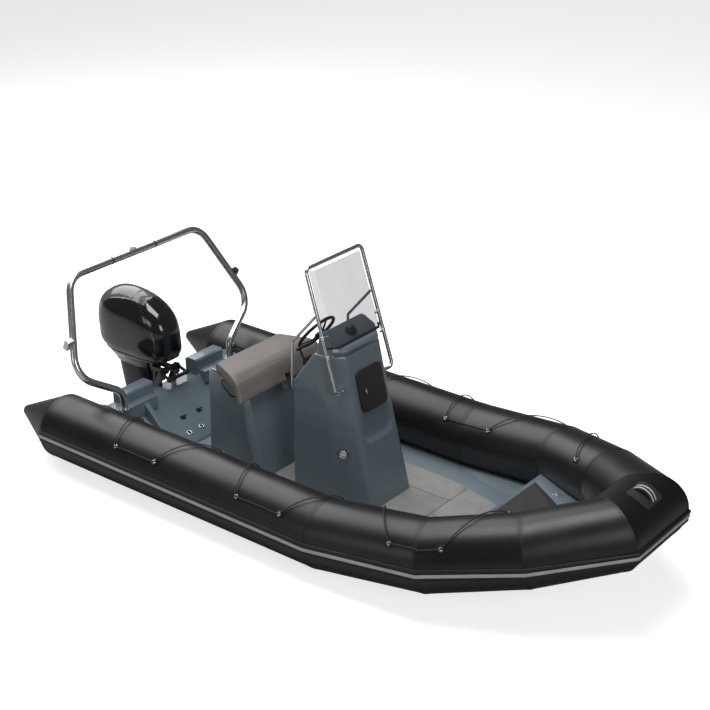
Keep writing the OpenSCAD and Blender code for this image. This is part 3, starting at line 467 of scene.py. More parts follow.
put("starboard_tube_skin", straight_tube(-1), TUBE, replaces=["starboard_tube"], angle=18)
put("port_tube_skin", straight_tube(1), TUBE, replaces=["port_tube"], angle=18)
for label, segs in (("starboard_shoulder", (1, 2, 3)), ("port_shoulder", (5, 6, 7)), ("bow", (4,))):
    whole = bmesh.new()
    for i in segs:
        part = bmesh.new()
        run_between(part, i, (PATH[i], mitre(i)), (PATH[i + 1], mitre(i + 1)), TUBE_R, rings=6)
        soften(part, i)
        join_add(whole, part)
    bmesh.ops.remove_doubles(whole, verts=whole.verts, dist=0.0003)
    put(label + "_tube_skin", whole, TUBE, replaces=[label + "_tube"], angle=8)

# Seam tapes over each mitre and at the root of each stern cone.
for i in range(1, 9):
    tape = bmesh.new()
    m = mitre(i)
    run_between(tape, i - 1, (PATH[i] - m * 0.02, m), (PATH[i], m), TUBE_R + 0.0013)
    run_between(tape, i, (PATH[i], m), (PATH[i] + m * 0.02, m), TUBE_R + 0.0013)
    bmesh.ops.remove_doubles(tape, verts=tape.verts, dist=0.0004)
    bmesh.ops.recalc_face_normals(tape, faces=tape.faces)
    bmesh.ops.solidify(tape, geom=tape.faces[:], thickness=0.0015)
    put("seam_tape_%d" % i, tape, TAPE, angle=25)
for side in (-1, 1):
    tape = bmesh.new()
    root = PATH[0] if side < 0 else PATH[9]
    vs = [tape.verts.new(root + Vector((x, 0, r))) for x, r in ((-0.03, 0.2535), (0, 0.2664), (0.03, 0.2664))]
    es = [tape.edges.new((vs[k], vs[k + 1])) for k in range(2)]
    bmesh.ops.spin(tape, geom=vs + es, cent=root, axis=(1, 0, 0), angle=2 * math.pi, steps=128, use_merge=True)
    bmesh.ops.recalc_face_normals(tape, faces=tape.faces)
    bmesh.ops.solidify(tape, geom=tape.faces[:], thickness=0.0015)
    put("cone_tape_" + ("starboard" if side < 0 else "port"), tape, TAPE, angle=12)

finish_node("rub_strake", STRAKE, 0.0022, 2)
finish_node("strake_stripe", STRIPE, 0.0018, 2)
finish_node("hull", GEL, 0.004, 2)
finish_node("deck", GEL_DECK, 0.003, 2)
finish_node("floor_panels", FLOOR, 0.0016, 2)
finish_node("transom_moulding", GEL, 0.011, 3)
finish_node("bow_locker", GEL, 0.005, 2)
finish_node("bow_locker_lid", DARK, 0.003, 2)
finish_node("lifeline_pads", TAPE, 0.0015, 2)
finish_node("console_cap", GEL, 0.012, 3)
finish_node("console_hatch", DARK, 0.005, 3)
finish_node("dashboard", BLACK, 0.002, 2)
finish_node("compass_dome", BLACK, 0.0015, 2)
finish_node("throttle_control", BLACK, 0.004, 3)
finish_node("windscreen", SCREEN)
finish_node("windscreen_frame", STEEL)
finish_node("console_grab_rails", STEEL)
finish_node("seat_base", GEL, 0.006, 2)
finish_node("seat_lid", GEL, 0.003, 2)
finish_node("seat_end_handles", ROPE)
finish_node("roll_bar", STEEL)
finish_node("stern_light", PALE, 0.002, 2)
finish_node("clamp_bracket", LEG, 0.003, 2)
finish_node("swivel_bracket", LEG, 0.003, 2)
finish_node("steering_cylinder", METAL, 0.0015, 2)
finish_node("engine_pan", PAINT, 0.002, 2)
finish_node("engine_block", METAL, 0.004, 2)
finish_node("engine_leg", LEG, 0.004, 2)
finish_node("gearcase", LEG, 0.002, 2)
finish_node("propeller", METAL, 0.0008, 2)

# ---------------------------------------------------------------- console
FLOOR_Z = 0.0844
CON_X = 1.900
CON_L = 0.740
CON_H = 1.208


def rounded(pts, radii, k=7):
    """Polygon with its own radius at each corner."""
    out = []
    c = len(pts)
    for i, p in enumerate(pts):
        u = unit(pts[i - 1] - p)
        v = unit(pts[(i + 1) % c] - p)
        half = math.acos(max(-1, min(1, u.dot(v)))) / 2
        r = radii[i]
        mid = p + unit(u + v) * (r / math.sin(half))
        a = p + u * (r / math.tan(half)) - mid
        b = p + v * (r / math.tan(half)) - mid
        for j in range(k + 1):
            w = a.lerp(b, j / k)
            out.append(mid + unit(w) * r)
    return out


def resample(pts, n):
    """The closed outline again as n points at even spacing from its first point."""
    c = pts + [pts[0]]
    d = [0.0]
    for a, b in zip(c, c[1:]):
        d.append(d[-1] + (b - a).length)
    out = []
    j = 0
    for i in range(n):
        t = d[-1] * i / n
        while d[j + 1] < t:
            j += 1
        f = (t - d[j]) / max(1e-9, d[j + 1] - d[j])
        out.append(c[j].lerp(c[j + 1], f))
    return out


def console_plan(h, g, n=168):
    t = h / CON_H
    aft = CON_X if h < 0.923 else CON_X + 0.205 * (h - 0.923) / 0.285
    front = CON_X + CON_L - 0.295 * t
    wa = 0.318 - 0.012 * t - g
    wc = wa - 0.004
    wf = 0.250 - 0.048 * t - 0.7 * g
    mid = aft + (front - aft) * 0.62
    a = aft + g
    f = front - g
    pts = [Vector((a, 0)), Vector((a, -wa)), Vector((mid, -wc)), Vector((f, -wf)),
           Vector((f, wf)), Vector((mid, wc)), Vector((a, wa))]
    return resample(rounded(pts, [0.001, 0.03, 0.16, 0.045, 0.045, 0.16, 0.03]), n)


def step(x, lo, hi):
    t = min(1, max(0, (x - lo) / (hi - lo)))
    return t * t * (3 - 2 * t)


LEAN = math.atan(0.295 / CON_H)


def console_dent(x, y, h):
    """Depth of the moulded hollow under the hatch."""
    front = CON_X + CON_L - 0.295 * h / CON_H
    deep = 0.0
    if x > front - 0.02:
        side = step(0.178 - abs(y), -0.004, 0.022)
        low = step(h - 0.50, 0, 0.03)
        round_low = step(0.10 - math.hypot(max(0, abs(y) - 0.085), max(0, 0.60 - h)), -0.002, 0.026)
        fade = 1 - step(h, 0.56, 0.74)
        deep = 0.017 * side * low * round_low * fade
    return deep


def console_skin():
    heights = [0.0006 + 1.192 * k / 74 for k in range(75)]
    rings = [(h, 0.0) for h in heights]
    for k in range(1, 5):
        a = math.pi / 2 * k / 4
        rings.append((1.1926 + 0.0152 * math.sin(a), 0.0152 * (1 - math.cos(a))))
    pts = []
    for h, g in rings:
        row = []
        for p in console_plan(h, g):
            d = console_dent(p.x, p.y, h)
            row.append(Vector((p.x - d * math.cos(LEAN), p.y, FLOOR_Z + h - d * math.sin(LEAN))))
        pts.append(row)
    return loft(pts)


put("console_skin", console_skin(), GEL, replaces=["console"], angle=40)


def on_front(y, h, out=0.0):
    """Frame on the console's front face: Z out of the face, Y up it, X to port."""
    z = Vector((math.cos(LEAN), 0, math.sin(LEAN)))
    pos = Vector((CON_X + CON_L - 0.295 * h / CON_H, y, FLOOR_Z + h)) + z * out
    m = Matrix((Vector((0, 1, 0)), Vector((-math.sin(LEAN), 0, math.cos(LEAN))), z)).transposed().to_4x4()
    m.translation = pos
    return m


def shifted(m, x, y, z=0.0):
    return m @ Matrix.Translation((x, y, z))


# Latch on the hatch: a round recess ring with a half-moon handle.
hatch = on_front(0, 0.905, 0.0217)
bm = bmesh.new()
add_disc(bm, shifted(hatch, -0.085, -0.005), 0.030, 0.028, 0.003, 48)
add_torus(bm, shifted(hatch, -0.085, -0.005, 0.003), 0.0285, 0.0022, 48, 10)
put("hatch_latch_base", bm, BLACK, body="hatch", bevel=0.0008)
bm = bmesh.new()
add_box(bm, shifted(hatch, -0.085, -0.005, 0.0072), 0.010, 0.046, 0.009)
add_disc(bm, shifted(hatch, -0.085, -0.005, 0.003), 0.011, 0.009, 0.009, 32)
put("hatch_latch_handle", bm, CHROME, body="hatch", bevel=0.0016, seg=3)

# Round filler cap low on the starboard face.
side_n = Vector((0.30, -1, 0.03))
cap_m = aim((2.395, -0.3015, 0.521), side_n)
bm = bmesh.new()
add_disc(bm, cap_m, 0.038, 0.036, 0.007, 56)
put("filler_flange", bm, BLACK, bevel=0.0014)
bm = bmesh.new()
add_torus(bm, shifted(cap_m, 0, 0, 0.0075), 0.0325, 0.0036, 56, 12)
put("filler_ring", bm, CHROME)
bm = bmesh.new()
add_disc(bm, shifted(cap_m, 0, 0, 0.006), 0.029, 0.0275, 0.005, 48)
add_box(bm, shifted(cap_m, 0, 0, 0.0125), 0.007, 0.040, 0.005)
put("filler_cap", bm, PALE, bevel=0.001)


# ---------------------------------------------------------------- dash and wheel
DASH_LEAN = math.atan(0.205 / 0.285)
DZ = Vector((-math.cos(DASH_LEAN), 0, math.sin(DASH_LEAN)))
DY = Vector((math.sin(DASH_LEAN), 0, math.cos(DASH_LEAN)))
DX = Vector((0, -1, 0))


def on_dash(x, y, z=0.0):
    m = Matrix((DX, DY, DZ)).transposed().to_4x4()
    base = Vector((2.002, 0, FLOOR_Z + (1.208 + 0.923) / 2))
    m.translation = base + DX * x + DY * y + DZ * z
    return m


for k, (x, y, r) in enumerate(((-0.185, 0.066, 0.041), (0.185, 0.066, 0.041),
                               (-0.10, 0.088, 0.026), (0.10, 0.088, 0.026))):
    g = on_dash(x, y, 0.0066)
    bm = bmesh.new()
    add_disc(bm, g, r, r * 0.97, 0.004, 48)
    put("gauge_face_%d" % k, bm, FACE, bevel=0.0006)
    bm = bmesh.new()
    add_torus(bm, shifted(g, 0, 0, 0.004), r, 0.0035, 48, 12)
    put("gauge_ring_%d" % k, bm, CHROME)
    bm = bmesh.new()
    for j in range(9):
        a = math.radians(-130 + 260 * j / 8)
        tick = g @ Matrix.Rotation(a, 4, "Z") @ Matrix.Translation((0, r * 0.74, 0.0043))
        add_box(bm, tick, 0.0016, r * 0.16, 0.0005)
    add_box(bm, g @ Matrix.Rotation(-0.7, 4, "Z") @ Matrix.Translation((0, r * 0.3, 0.0052)),
            0.0016, r * 0.7, 0.0008)
    put("gauge_marks_%d" % k, bm, PALE)
bm = bmesh.new()
for j in range(6):
    add_box(bm, on_dash(-0.20 + 0.026 * j, -0.055, 0.0095), 0.018, 0.034, 0.006)
for j in range(3):
    add_box(bm, on_dash(0.15 + 0.03 * j, -0.055, 0.0095), 0.022, 0.034, 0.006)
put("switches", bm, BLACK, bevel=0.002, seg=3)
bm = bmesh.new()
for x, y in ((-0.235, 0.11), (0.235, 0.11), (-0.235, -0.115), (0.235, -0.115), (0, -0.115)):
    add_disc(bm, on_dash(x, y, 0.0062), 0.0048, 0.0042, 0.0016, 20)
put("dash_screws", bm, STEEL, bevel=0.0004)

wheel = on_dash(0, 0.057, 0.178)
bm = bmesh.new()
add_torus(bm, wheel, 0.17, 0.0132, 120, 20)
for v in bm.verts:
    q = wheel.inverted() @ v.co
    a = math.atan2(q.y, q.x)
    r = math.hypot(q.x, q.y)
    grip = 0.0011 * max(0, math.sin(a * 30)) * step(0.1745 - r, -0.002, 0.010)
    f = (r + grip) / r
    v.co = wheel @ Vector((q.x * f, q.y * f, q.z))
put("wheel_rim", bm, BLACK, body="wheel", replaces=["steering_wheel"], angle=60)
for k, a in enumerate((90, 210, 330)):
    rings = []
    for t, half, thick, drop in ((0.0, 0.021, 0.010, -0.032), (0.25, 0.018, 0.0085, -0.030),
                                 (0.6, 0.013, 0.007, -0.019), (0.85, 0.012, 0.0065, -0.008),
                                 (1.0, 0.014, 0.007, -0.001)):
        r = 0.026 + (0.168 - 0.026) * t
        row = []
        for j in range(16):
            w = 2 * math.pi * j / 16
            px = half * math.copysign(abs(math.cos(w)) ** 0.7, math.cos(w))
            pz = thick / 2 * math.copysign(abs(math.sin(w)) ** 0.7, math.sin(w)) + drop
            row.append(wheel @ Matrix.Rotation(math.radians(a), 4, "Z") @ Vector((r, px, pz)))
        rings.append(row)
    bm = loft(rings)
    bmesh.ops.subdivide_edges(bm, edges=[e for e in bm.edges if e.calc_length() > 0.02], cuts=2, smooth=0.4)
    put("wheel_spoke_%d" % k, bm, BLACK, body="wheel", angle=60)
bm = bmesh.new()
add_disc(bm, shifted(wheel, 0, 0, -0.044), 0.034, 0.040, 0.020, 48)
add_disc(bm, shifted(wheel, 0, 0, -0.024), 0.040, 0.031, 0.012, 48)
add_disc(bm, shifted(wheel, 0, 0, -0.14), 0.0168, 0.0168, 0.10, 32)
put("wheel_hub", bm, BLACK, body="wheel", bevel=0.002, seg=3)
bm = bmesh.new()
add_disc(bm, shifted(wheel, 0, 0, -0.0125), 0.022, 0.019, 0.004, 40)
put("wheel_cap", bm, METAL, body="wheel", bevel=0.0012, seg=3)

# ---------------------------------------------------------------- screen gasket and clamps
CAP_Z = 1.3684
gasket = [Vector(p) for p in ((2.256, -0.314, CAP_Z), (2.308, -0.252, CAP_Z),
                              (2.308, 0.252, CAP_Z), (2.256, 0.314, CAP_Z))]


def curve_tube(name, pts, r, mat, body="boat", cyclic=False, res=3, replaces=()):
    """Round cord or rod along the points, as one curve."""
    c = bpy.data.curves.new(name, "CURVE")
    c.dimensions = "3D"
    c.bevel_depth = r
    c.bevel_resolution = res
    c.use_fill_caps = True
    lines = pts if isinstance(pts[0], (list, tuple)) else [pts]
    for line in lines:
        s = c.splines.new("POLY")
        s.points.add(len(line) - 1)
        for q, p in zip(s.points, line):
            q.co = (p[0], p[1], p[2], 1)
        s.use_cyclic_u = cyclic
        s.use_smooth = True
    ob = bpy.data.objects.new(name, c)
    scene.collection.objects.link(ob)
    c.materials.append(mat)
    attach(ob, body)
    if replaces:
        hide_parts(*replaces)
    return ob


def smooth_path(pts, n=8):
    """Catmull-Rom points through the given ones."""
    out = []
    for i in range(len(pts) - 1):
        p0 = pts[max(0, i - 1)]
        p1 = pts[i]
        p2 = pts[i + 1]
        p3 = pts[min(len(pts) - 1, i + 2)]
        for k in range(n):
            t = k / n
            out.append(0.5 * ((2 * p1) + (p2 - p0) * t + (2 * p0 - 5 * p1 + 4 * p2 - p3) * t * t
                              + (3 * p1 - p0 - 3 * p2 + p3) * t ** 3))
    out.append(pts[-1])
    return out


bm = bmesh.new()
rings = []
for i, p in enumerate(gasket):
    a = gasket[max(0, i - 1)]
    b = gasket[min(3, i + 1)]
    t = unit(b - a)
    n = unit(Vector((t.y, -t.x, 0)))
    rings.append([p + n * x + Vector((0, 0, z)) for x, z in
                  ((0.006, -0.003), (0.006, 0.011), (0.001, 0.013), (-0.009, 0.013), (-0.012, 0.010),
                   (-0.012, -0.003))])
put("screen_gasket", loft(rings), BLACK, bevel=0.0015)
SCR_LEAN = 0.327
for side in (-1, 1):
    label = "starboard" if side < 0 else "port"
    for k, z in enumerate((1.315, 1.462)):
        leg = Vector((2.065 + SCR_LEAN * (1.97 - z), side * (0.3355 if z < 1.4 else 0.3345), z))
        bm = bmesh.new()
        along = Vector((-SCR_LEAN, 0, 1))
        add_torus(bm, aim(leg - unit(along) * 0.007, along), 0.0168, 0.0036, 32, 10)
        add_torus(bm, aim(leg + unit(along) * 0.007, along), 0.0168, 0.0036, 32, 10)
        arm = aim(leg + Vector((0, -side * 0.0155, 0)), (0.45, -side * 1.0, 0))
        add_disc(bm, arm, 0.0065, 0.005, 0.030, 24)
        add_disc(bm, shifted(arm, 0, 0, 0.028), 0.010, 0.009, 0.006, 28)
        put("screen_clamp_%s_%d" % (label, k), bm, CHROME, bevel=0.001)
    foot = aim((2.352, side * 0.2515, 1.023), (0.30, side * -1.0, 0.1))
    bm = bmesh.new()
    add_disc(bm, shifted(foot, 0, 0, -0.004), 0.021, 0.020, 0.004, 32)
    put("frame_foot_" + label, bm, CHROME, bevel=0.001)

# ---------------------------------------------------------------- lifelines
PADS = {
    -1: [(0.1, 1), (0.26, 1), (0.3, 0), (0.45, 0), (0.58, 1), (0.71, 1), (0.757, 0), (0.907, 0),
         (1.06, 1), (1.48, 1), (1.77, 0), (2.25, 0), (2.86, 1)],
    1: [(0.1, 1), (0.17, 1), (0.3, 0), (0.45, 0), (0.47, 1), (0.62, 1), (0.785, 0), (0.93, 0),
        (0.942, 1), (1.336, 1), (1.862, 0), (2.28, 0), (2.75, 1)]}
ROPE_H = 0.0118


def pad_b(p):
    return 138 if p[1] else 38


def rope_points(pads, side):
    route = []
    for p, q in zip(pads, pads[1:]):
        route.append((p[0], pad_b(p), ROPE_H))
        if p[1] == q[1]:
            n = max(3, int((q[0] - p[0]) * 24))
            for k in range(1, n):
                route.append((p[0] + (q[0] - p[0]) * k / n, pad_b(p), ROPE_H - 0.004 * math.sin(math.pi * k / n)))
        else:
            for k in range(1, 14):
                t = k / 14
                route.append((p[0] + (q[0] - p[0]) * t, pad_b(p) + (pad_b(q) - pad_b(p)) * t,
                              ROPE_H + 0.008 * math.sin(math.pi * t)))
    route.append((pads[-1][0], pad_b(pads[-1]), ROPE_H))
    out = []
    for s, b, h in route:
        v = surf(s, b, TUBE_R + h)
        out.append(Vector((v.x, v.y * (1 if side < 0 else -1), v.z)))
    return out


def even(pts, gap):
    d = [0.0]
    for a, b in zip(pts, pts[1:]):
        d.append(d[-1] + (b - a).length)
    n = int(d[-1] / gap)
    out = []
    j = 0
    for i in range(n + 1):
        t = d[-1] * i / n
        while j < len(d) - 2 and d[j + 1] < t:
            j += 1
        out.append(pts[j].lerp(pts[j + 1], (t - d[j]) / max(1e-9, d[j + 1] - d[j])))
    return out


for side in (-1, 1):
    label = "starboard" if side < 0 else "port"
    pts = even(smooth_path(rope_points(PADS[side], side), 4), 0.0055)
    u = Vector((0, 0, 1))
    strands = [[], [], []]
    for i, p in enumerate(pts):
        t = unit(pts[min(len(pts) - 1, i + 1)] - pts[max(0, i - 1)])
        u = unit(u - t * u.dot(t))
        w = t.cross(u)
        for k in range(3):
            a = 2 * math.pi * (i * 0.0055 / 0.036 + k / 3)
            strands[k].append(p + (u * math.cos(a) + w * math.sin(a)) * 0.0026)
    curve_tube(label + "_rope", strands, 0.0027, ROPE, res=1, replaces=[label + "_lifeline"])
    bm = bmesh.new()
    for p in PADS[side]:
        c = surf(p[0], pad_b(p), TUBE_R + ROPE_H)
        o = surf(p[0], pad_b(p), TUBE_R + 0.1) - surf(p[0], pad_b(p), TUBE_R)
        c2 = surf(p[0] + 0.002, pad_b(p), TUBE_R + ROPE_H)
        t = c2 - c
        if side > 0:
            c.y *= -1
            o.y *= -1
            t.y *= -1
        base = aim(c - unit(o) * 0.0055, o, t)
        add_disc(bm, base, 0.017, 0.015, 0.0024, 28)
        add_torus(bm, aim(c + unit(o) * 0.001, t), 0.0088, 0.0022, 28, 10)
    put("lifeline_rings_" + label, bm, CHROME)

# ---------------------------------------------------------------- bow handle
bow = Vector((4.690, 0, 0.644))
tilt = Matrix.Rotation(math.radians(22), 4, "Y")
hm = Matrix.Translation(bow) @ tilt
bm = bmesh.new()
run_between(bm, 4, (Vector((4.69, -0.115, 0.644)), Vector((0, 1, 0))),
            (Vector((4.69, 0.115, 0.644)), Vector((0, 1, 0))), TUBE_R + 0.0035, n=160)
for sx in (-1, 1):
    geom = bm.verts[:] + bm.edges[:] + bm.faces[:]
    no = tilt.to_3x3() @ Vector((sx, 0, 0))
    bmesh.ops.bisect_plane(bm, geom=geom, dist=1e-6, plane_co=bow + no * 0.098, plane_no=no, clear_outer=True)
geom = bm.verts[:] + bm.edges[:] + bm.faces[:]
bmesh.ops.bisect_plane(bm, geom=geom, dist=1e-6, plane_co=bow, plane_no=tilt.to_3x3() @ Vector((0, 0, 1)),
                       clear_inner=True)
for sx, sy in ((1, 1), (1, -1), (-1, 1), (-1, -1)):
    geom = bm.verts[:] + bm.edges[:] + bm.faces[:]
    no = unit(tilt.to_3x3() @ Vector((sx, sy, 0)))
    bmesh.ops.bisect_plane(bm, geom=geom, dist=1e-6, plane_co=bow + no * 0.134, plane_no=no, clear_outer=True)
bmesh.ops.recalc_face_normals(bm, faces=bm.faces)
bmesh.ops.solidify(bm, geom=bm.faces[:], thickness=0.0032)
put("handle_patch", bm, PATCH, replaces=["bow_handle"], angle=30)


def arch(name, width, mat, y0, prof):
    """Section spun over the crest, fore and aft."""
    b = bmesh.new()
    cent = hm @ Vector((0, 0, TUBE_R - 0.052))
    axis = hm.to_3x3() @ Vector((0, 1, 0))
    start = Matrix.Rotation(math.radians(-57), 4, "Y")
    vs = [b.verts.new(hm @ (Vector((0, 0, TUBE_R - 0.052)) + start @ Vector((0, y0 + y, r))))
          for y, r in prof]
    es = [b.edges.new((vs[i], vs[(i + 1) % len(vs)])) for i in range(len(vs))]
    bmesh.ops.spin(b, geom=vs + es, cent=cent, axis=axis, angle=math.radians(114), steps=40)
    ends = [e for e in b.edges if len(e.link_faces) == 1]
    bmesh.ops.holes_fill(b, edges=ends, sides=64)
    return put(name, b, mat, bevel=0.0022, seg=3)


arch("handle_grip", 0.05, PATCH, 0, [(-0.026, 0.074), (-0.028, 0.090), (-0.020, 0.0965), (0.020, 0.0965),
                                     (0.028, 0.090), (0.026, 0.074)])
for k, y in enumerate((-0.017, 0.017)):
    arch("handle_rib_%d" % k, 0.01, PALE, y, [(-0.0065, 0.094), (-0.0065, 0.0995), (0.0065, 0.0995),
                                            (0.0065, 0.094)])

# ---------------------------------------------------------------- engine cowl
COWL_LOW = 0.615
LEVELS = [(0, -55, 355, 0.86), (60, -70, 400, 0.97), (160, -80, 408, 1), (260, -88, 405, 0.99),
          (340, -98, 385, 0.94), (405, -112, 348, 0.85), (460, -126, 290, 0.73), (508, -140, 215, 0.55),
          (538, -150, 135, 0.36), (552, -155, 60, 0.16)]


def cowl_at(u):
    i = min(int(u), len(LEVELS) - 2)
    t = u - i
    q = [LEVELS[max(0, i - 1)], LEVELS[i], LEVELS[i + 1], LEVELS[min(len(LEVELS) - 1, i + 2)]]
    return [0.5 * (2 * q[1][k] + (q[2][k] - q[0][k]) * t
                   + (2 * q[0][k] - 5 * q[1][k] + 4 * q[2][k] - q[3][k]) * t * t
                   + (3 * q[1][k] - q[0][k] - 3 * q[2][k] + q[3][k]) * t ** 3) for k in range(4)]


def cowl_ring(h, cx, a, w, g=0.0, n=112, e=0.66):
    row = []
    for k in range(n):
        t = 2 * math.pi * k / n
        c = math.cos(t)
        s = math.sin(t)
        row.append(Vector(((cx + (a - g) * math.copysign(abs(c) ** e, c)) / 1000,
                           (200 * w - g) * math.copysign(abs(s) ** e, s) / 1000, COWL_LOW + h / 1000)))
    return row


rings = []
for k in range(46):
    u = 9 * k / 45
    h, cx, a, w = cowl_at(u)
    e = 0.62 + 0.10 * step(u, 0, 2) + 0.12 * step(u, 5, 9)
    rings.append(cowl_ring(h, cx, a, w, 0.0, 112, e))
bm = loft(rings)
cuts = [((0, 0.112, 0.9), (0.10, 1, 0)), ((0, -0.112, 0.9), (0.10, -1, 0)), ((0.155, 0, 0.9), (1, 0, 0.35)),
        ((-0.44, 0, 0.9), (-1, 0, 0.2)), ((-0.10, 0, 0.9), (1, 0, -0.25))]
for co, no in cuts:
    geom = bm.verts[:] + bm.edges[:] + bm.faces[:]
    bmesh.ops.bisect_plane(bm, geom=geom, dist=1e-6, plane_co=co, plane_no=no)


def inside(f, skip_cross):
    c = f.calc_center_median()
    if f.normal.z < 0.12 or c.z < COWL_LOW + 0.22:
        return False
    for co, no in cuts[:4]:
        if (c - Vector(co)).dot(Vector(no)) > 0:
            return False
    return True


bmesh.ops.recalc_face_normals(bm, faces=bm.faces)
# The upward-facing top panels, front and rear, take the grey painted reflection, and both are inset as shallow
# recessed panels.
front = []
rear = []
for f in bm.faces:
    if inside(f, True):
        c = f.calc_center_median()
        (front if (c - Vector(cuts[4][0])).dot(Vector(cuts[4][1])) > 0 else rear).append(f)
for group, idx in ((front, 1), (rear, 1)):
    for f in group:
        f.material_index = idx
    bmesh.ops.inset_region(bm, faces=group, thickness=0.004, depth=-0.003, use_even_offset=True)
put("cowl_skin", bm, [PAINT, COWL_TOP_PAINTED_REFLECTION], body="motor", replaces=["engine_cowl"], angle=42)
# Seam between the cowl and the pan, and a latch; no side badge is drawn.
low = [cowl_ring(h, cx, a, w, g, 112, 0.62) for h, cx, a, w, g in
       ((4, -55, 355, 0.86, -2.5), (4, -55, 355, 0.86, 1.5), (-6, -55, 355, 0.86, 1.5), (-6, -55, 355, 0.86, -2.5))]
bm = loft(low + [low[0]], caps=False)
bmesh.ops.remove_doubles(bm, verts=bm.verts, dist=0.0001)
put("cowl_seal", bm, BLACK, body="motor")
bm = bmesh.new()
latch = aim((0.302, -0.02, 0.66), (1, 0, 0.05))
add_disc(bm, shifted(latch, 0.0, 0.105, -0.02), 0.018, 0.016, 0.040, 32)
add_disc(bm, shifted(latch, 0.0, 0.105, 0.018), 0.024, 0.022, 0.012, 32)
put("cowl_grip", bm, BLACK, body="motor", bevel=0.003, seg=3)

# ---------------------------------------------------------------- fittings on the stern moulding
well_n = Vector((0.146, 0, 0.36))
for k, (x, y, z) in enumerate(((0.547, -0.159, 0.198), (0.551, 0.029, 0.196))):
    m = aim((x, y, z), well_n, (0, 1, 0))
    bm = bmesh.new()
    add_box(bm, shifted(m, 0, 0, 0.003), 0.040, 0.040, 0.007)
    add_disc(bm, shifted(m, 0, 0, 0.005), 0.014, 0.012, 0.012, 28)
    add_box(bm, shifted(m, 0.012, 0, 0.020), 0.052, 0.012, 0.009)
    put("fuel_tap_%d" % k, bm, BLACK, bevel=0.002, seg=3)
for k, (x, y, z) in enumerate(((0.696, -0.093, 0.137), (0.699, -0.241, 0.136))):
    m = aim((x, y, z), well_n, (0, 1, 0))
    bm = bmesh.new()
    add_torus(bm, shifted(m, 0, 0, 0.004), 0.021, 0.006, 40, 12)
    put("drain_ring_%d" % k, bm, CHROME)
    bm = bmesh.new()
    add_disc(bm, m, 0.018, 0.012, 0.006, 32)
    put("drain_plug_%d" % k, bm, BLACK, bevel=0.001)


# ---------------------------------------------------------------- roll bar fittings
def bar_x(z):
    return 0.484 - 0.44 * (z - 0.285)


bar_z = 1.5064
for k, y in enumerate((-0.29, 0.20)):
    bm = bmesh.new()
    add_disc(bm, aim((bar_x(bar_z) - 0.01, y, bar_z), (0, 1, 0)), 0.0318, 0.0318, 0.012, 48)
    put("bar_sleeve_%d" % k, bm, METAL, bevel=0.001)
top = bar_x(bar_z) - 0.01
bm = bmesh.new()
add_box(bm, Matrix.Translation((top, -0.02, bar_z + 0.0325)), 0.05, 0.09, 0.006)
add_disc(bm, Matrix.Translation((top, -0.02, bar_z + 0.035)), 0.016, 0.014, 0.012, 32)
put("lamp_base", bm, CHROME, bevel=0.0015)
bm = bmesh.new()
m = Matrix.Translation((0.154, -0.998, 1.063)) @ Matrix.Rotation(math.radians(24), 4, "Y")
add_box(bm, m, 0.05, 0.070, 0.085)
put("light_bracket_starboard", bm, STEEL, bevel=0.006, seg=3)
bm = bmesh.new()
m = Matrix.Translation((0.143, 0.975, 1.067)) @ Matrix.Rotation(math.radians(24), 4, "Y")
add_box(bm, m, 0.05, 0.05, 0.07)
add_box(bm, m @ Matrix.Translation((0, 0.03, 0)), 0.03, 0.02, 0.04)
put("light_bracket_port", bm, BLACK, bevel=0.006, seg=3)
for side in (-1, 1):
    bm = bmesh.new()
    for k in range(4):
        a = math.radians(45 + 90 * k)
        add_disc(bm, Matrix.Translation((0.362 + 0.038 * math.cos(a), side * 0.64 + 0.038 * math.sin(a), 0.4222)),
                 0.006, 0.005, 0.004, 6)
    put("bar_bolts_" + ("starboard" if side < 0 else "port"), bm, STEEL)

# ---------------------------------------------------------------- bow locker fittings
bm = bmesh.new()
m = Matrix.Translation((3.87, 0.405, 0.3775))
add_box(bm, m @ Matrix.Rotation(0.5, 4, "Z"), 0.070, 0.026, 0.005)
add_disc(bm, m, 0.010, 0.008, 0.010, 24)
put("locker_latch", bm, CHROME, bevel=0.0015)

# ---------------------------------------------------------------- seat
SEAT_TOP = 0.8694
CUSH_Z = 0.8858
CUSH_X = 1.147


def cush_w(x):
    return 0.370 + 0.41 * (x - CUSH_X)


SIDE = [(1.147, CUSH_Z), (1.456, CUSH_Z), (1.494, CUSH_Z - 0.120), (1.500, CUSH_Z - 0.126),
        (1.544, CUSH_Z - 0.126), (1.552, CUSH_Z - 0.118), (1.506, CUSH_Z + 0.002), (1.488, CUSH_Z + 0.040),
        (1.462, CUSH_Z + 0.062), (1.420, CUSH_Z + 0.076), (1.400, CUSH_Z + 0.078),
        (1.165, CUSH_Z + 0.078), (1.147, CUSH_Z + 0.062)]


def cushion_body():
    cx = 1.35
    cz = CUSH_Z + 0.02
    rings = []
    for m in (1, -1):
        row = []
        for x, z in SIDE:
            sx = x + (0.0025 if x < cx else -0.0025)
            sz = z + (0.0025 if z < cz - 0.01 and x > 1.46 else 0)
            sz = sz - (0.0025 if z > CUSH_Z + 0.03 else 0)
            row.append(Vector((sx, m * (cush_w(x) - 0.004), sz)))
        rings.append(row)
    return loft(rings)


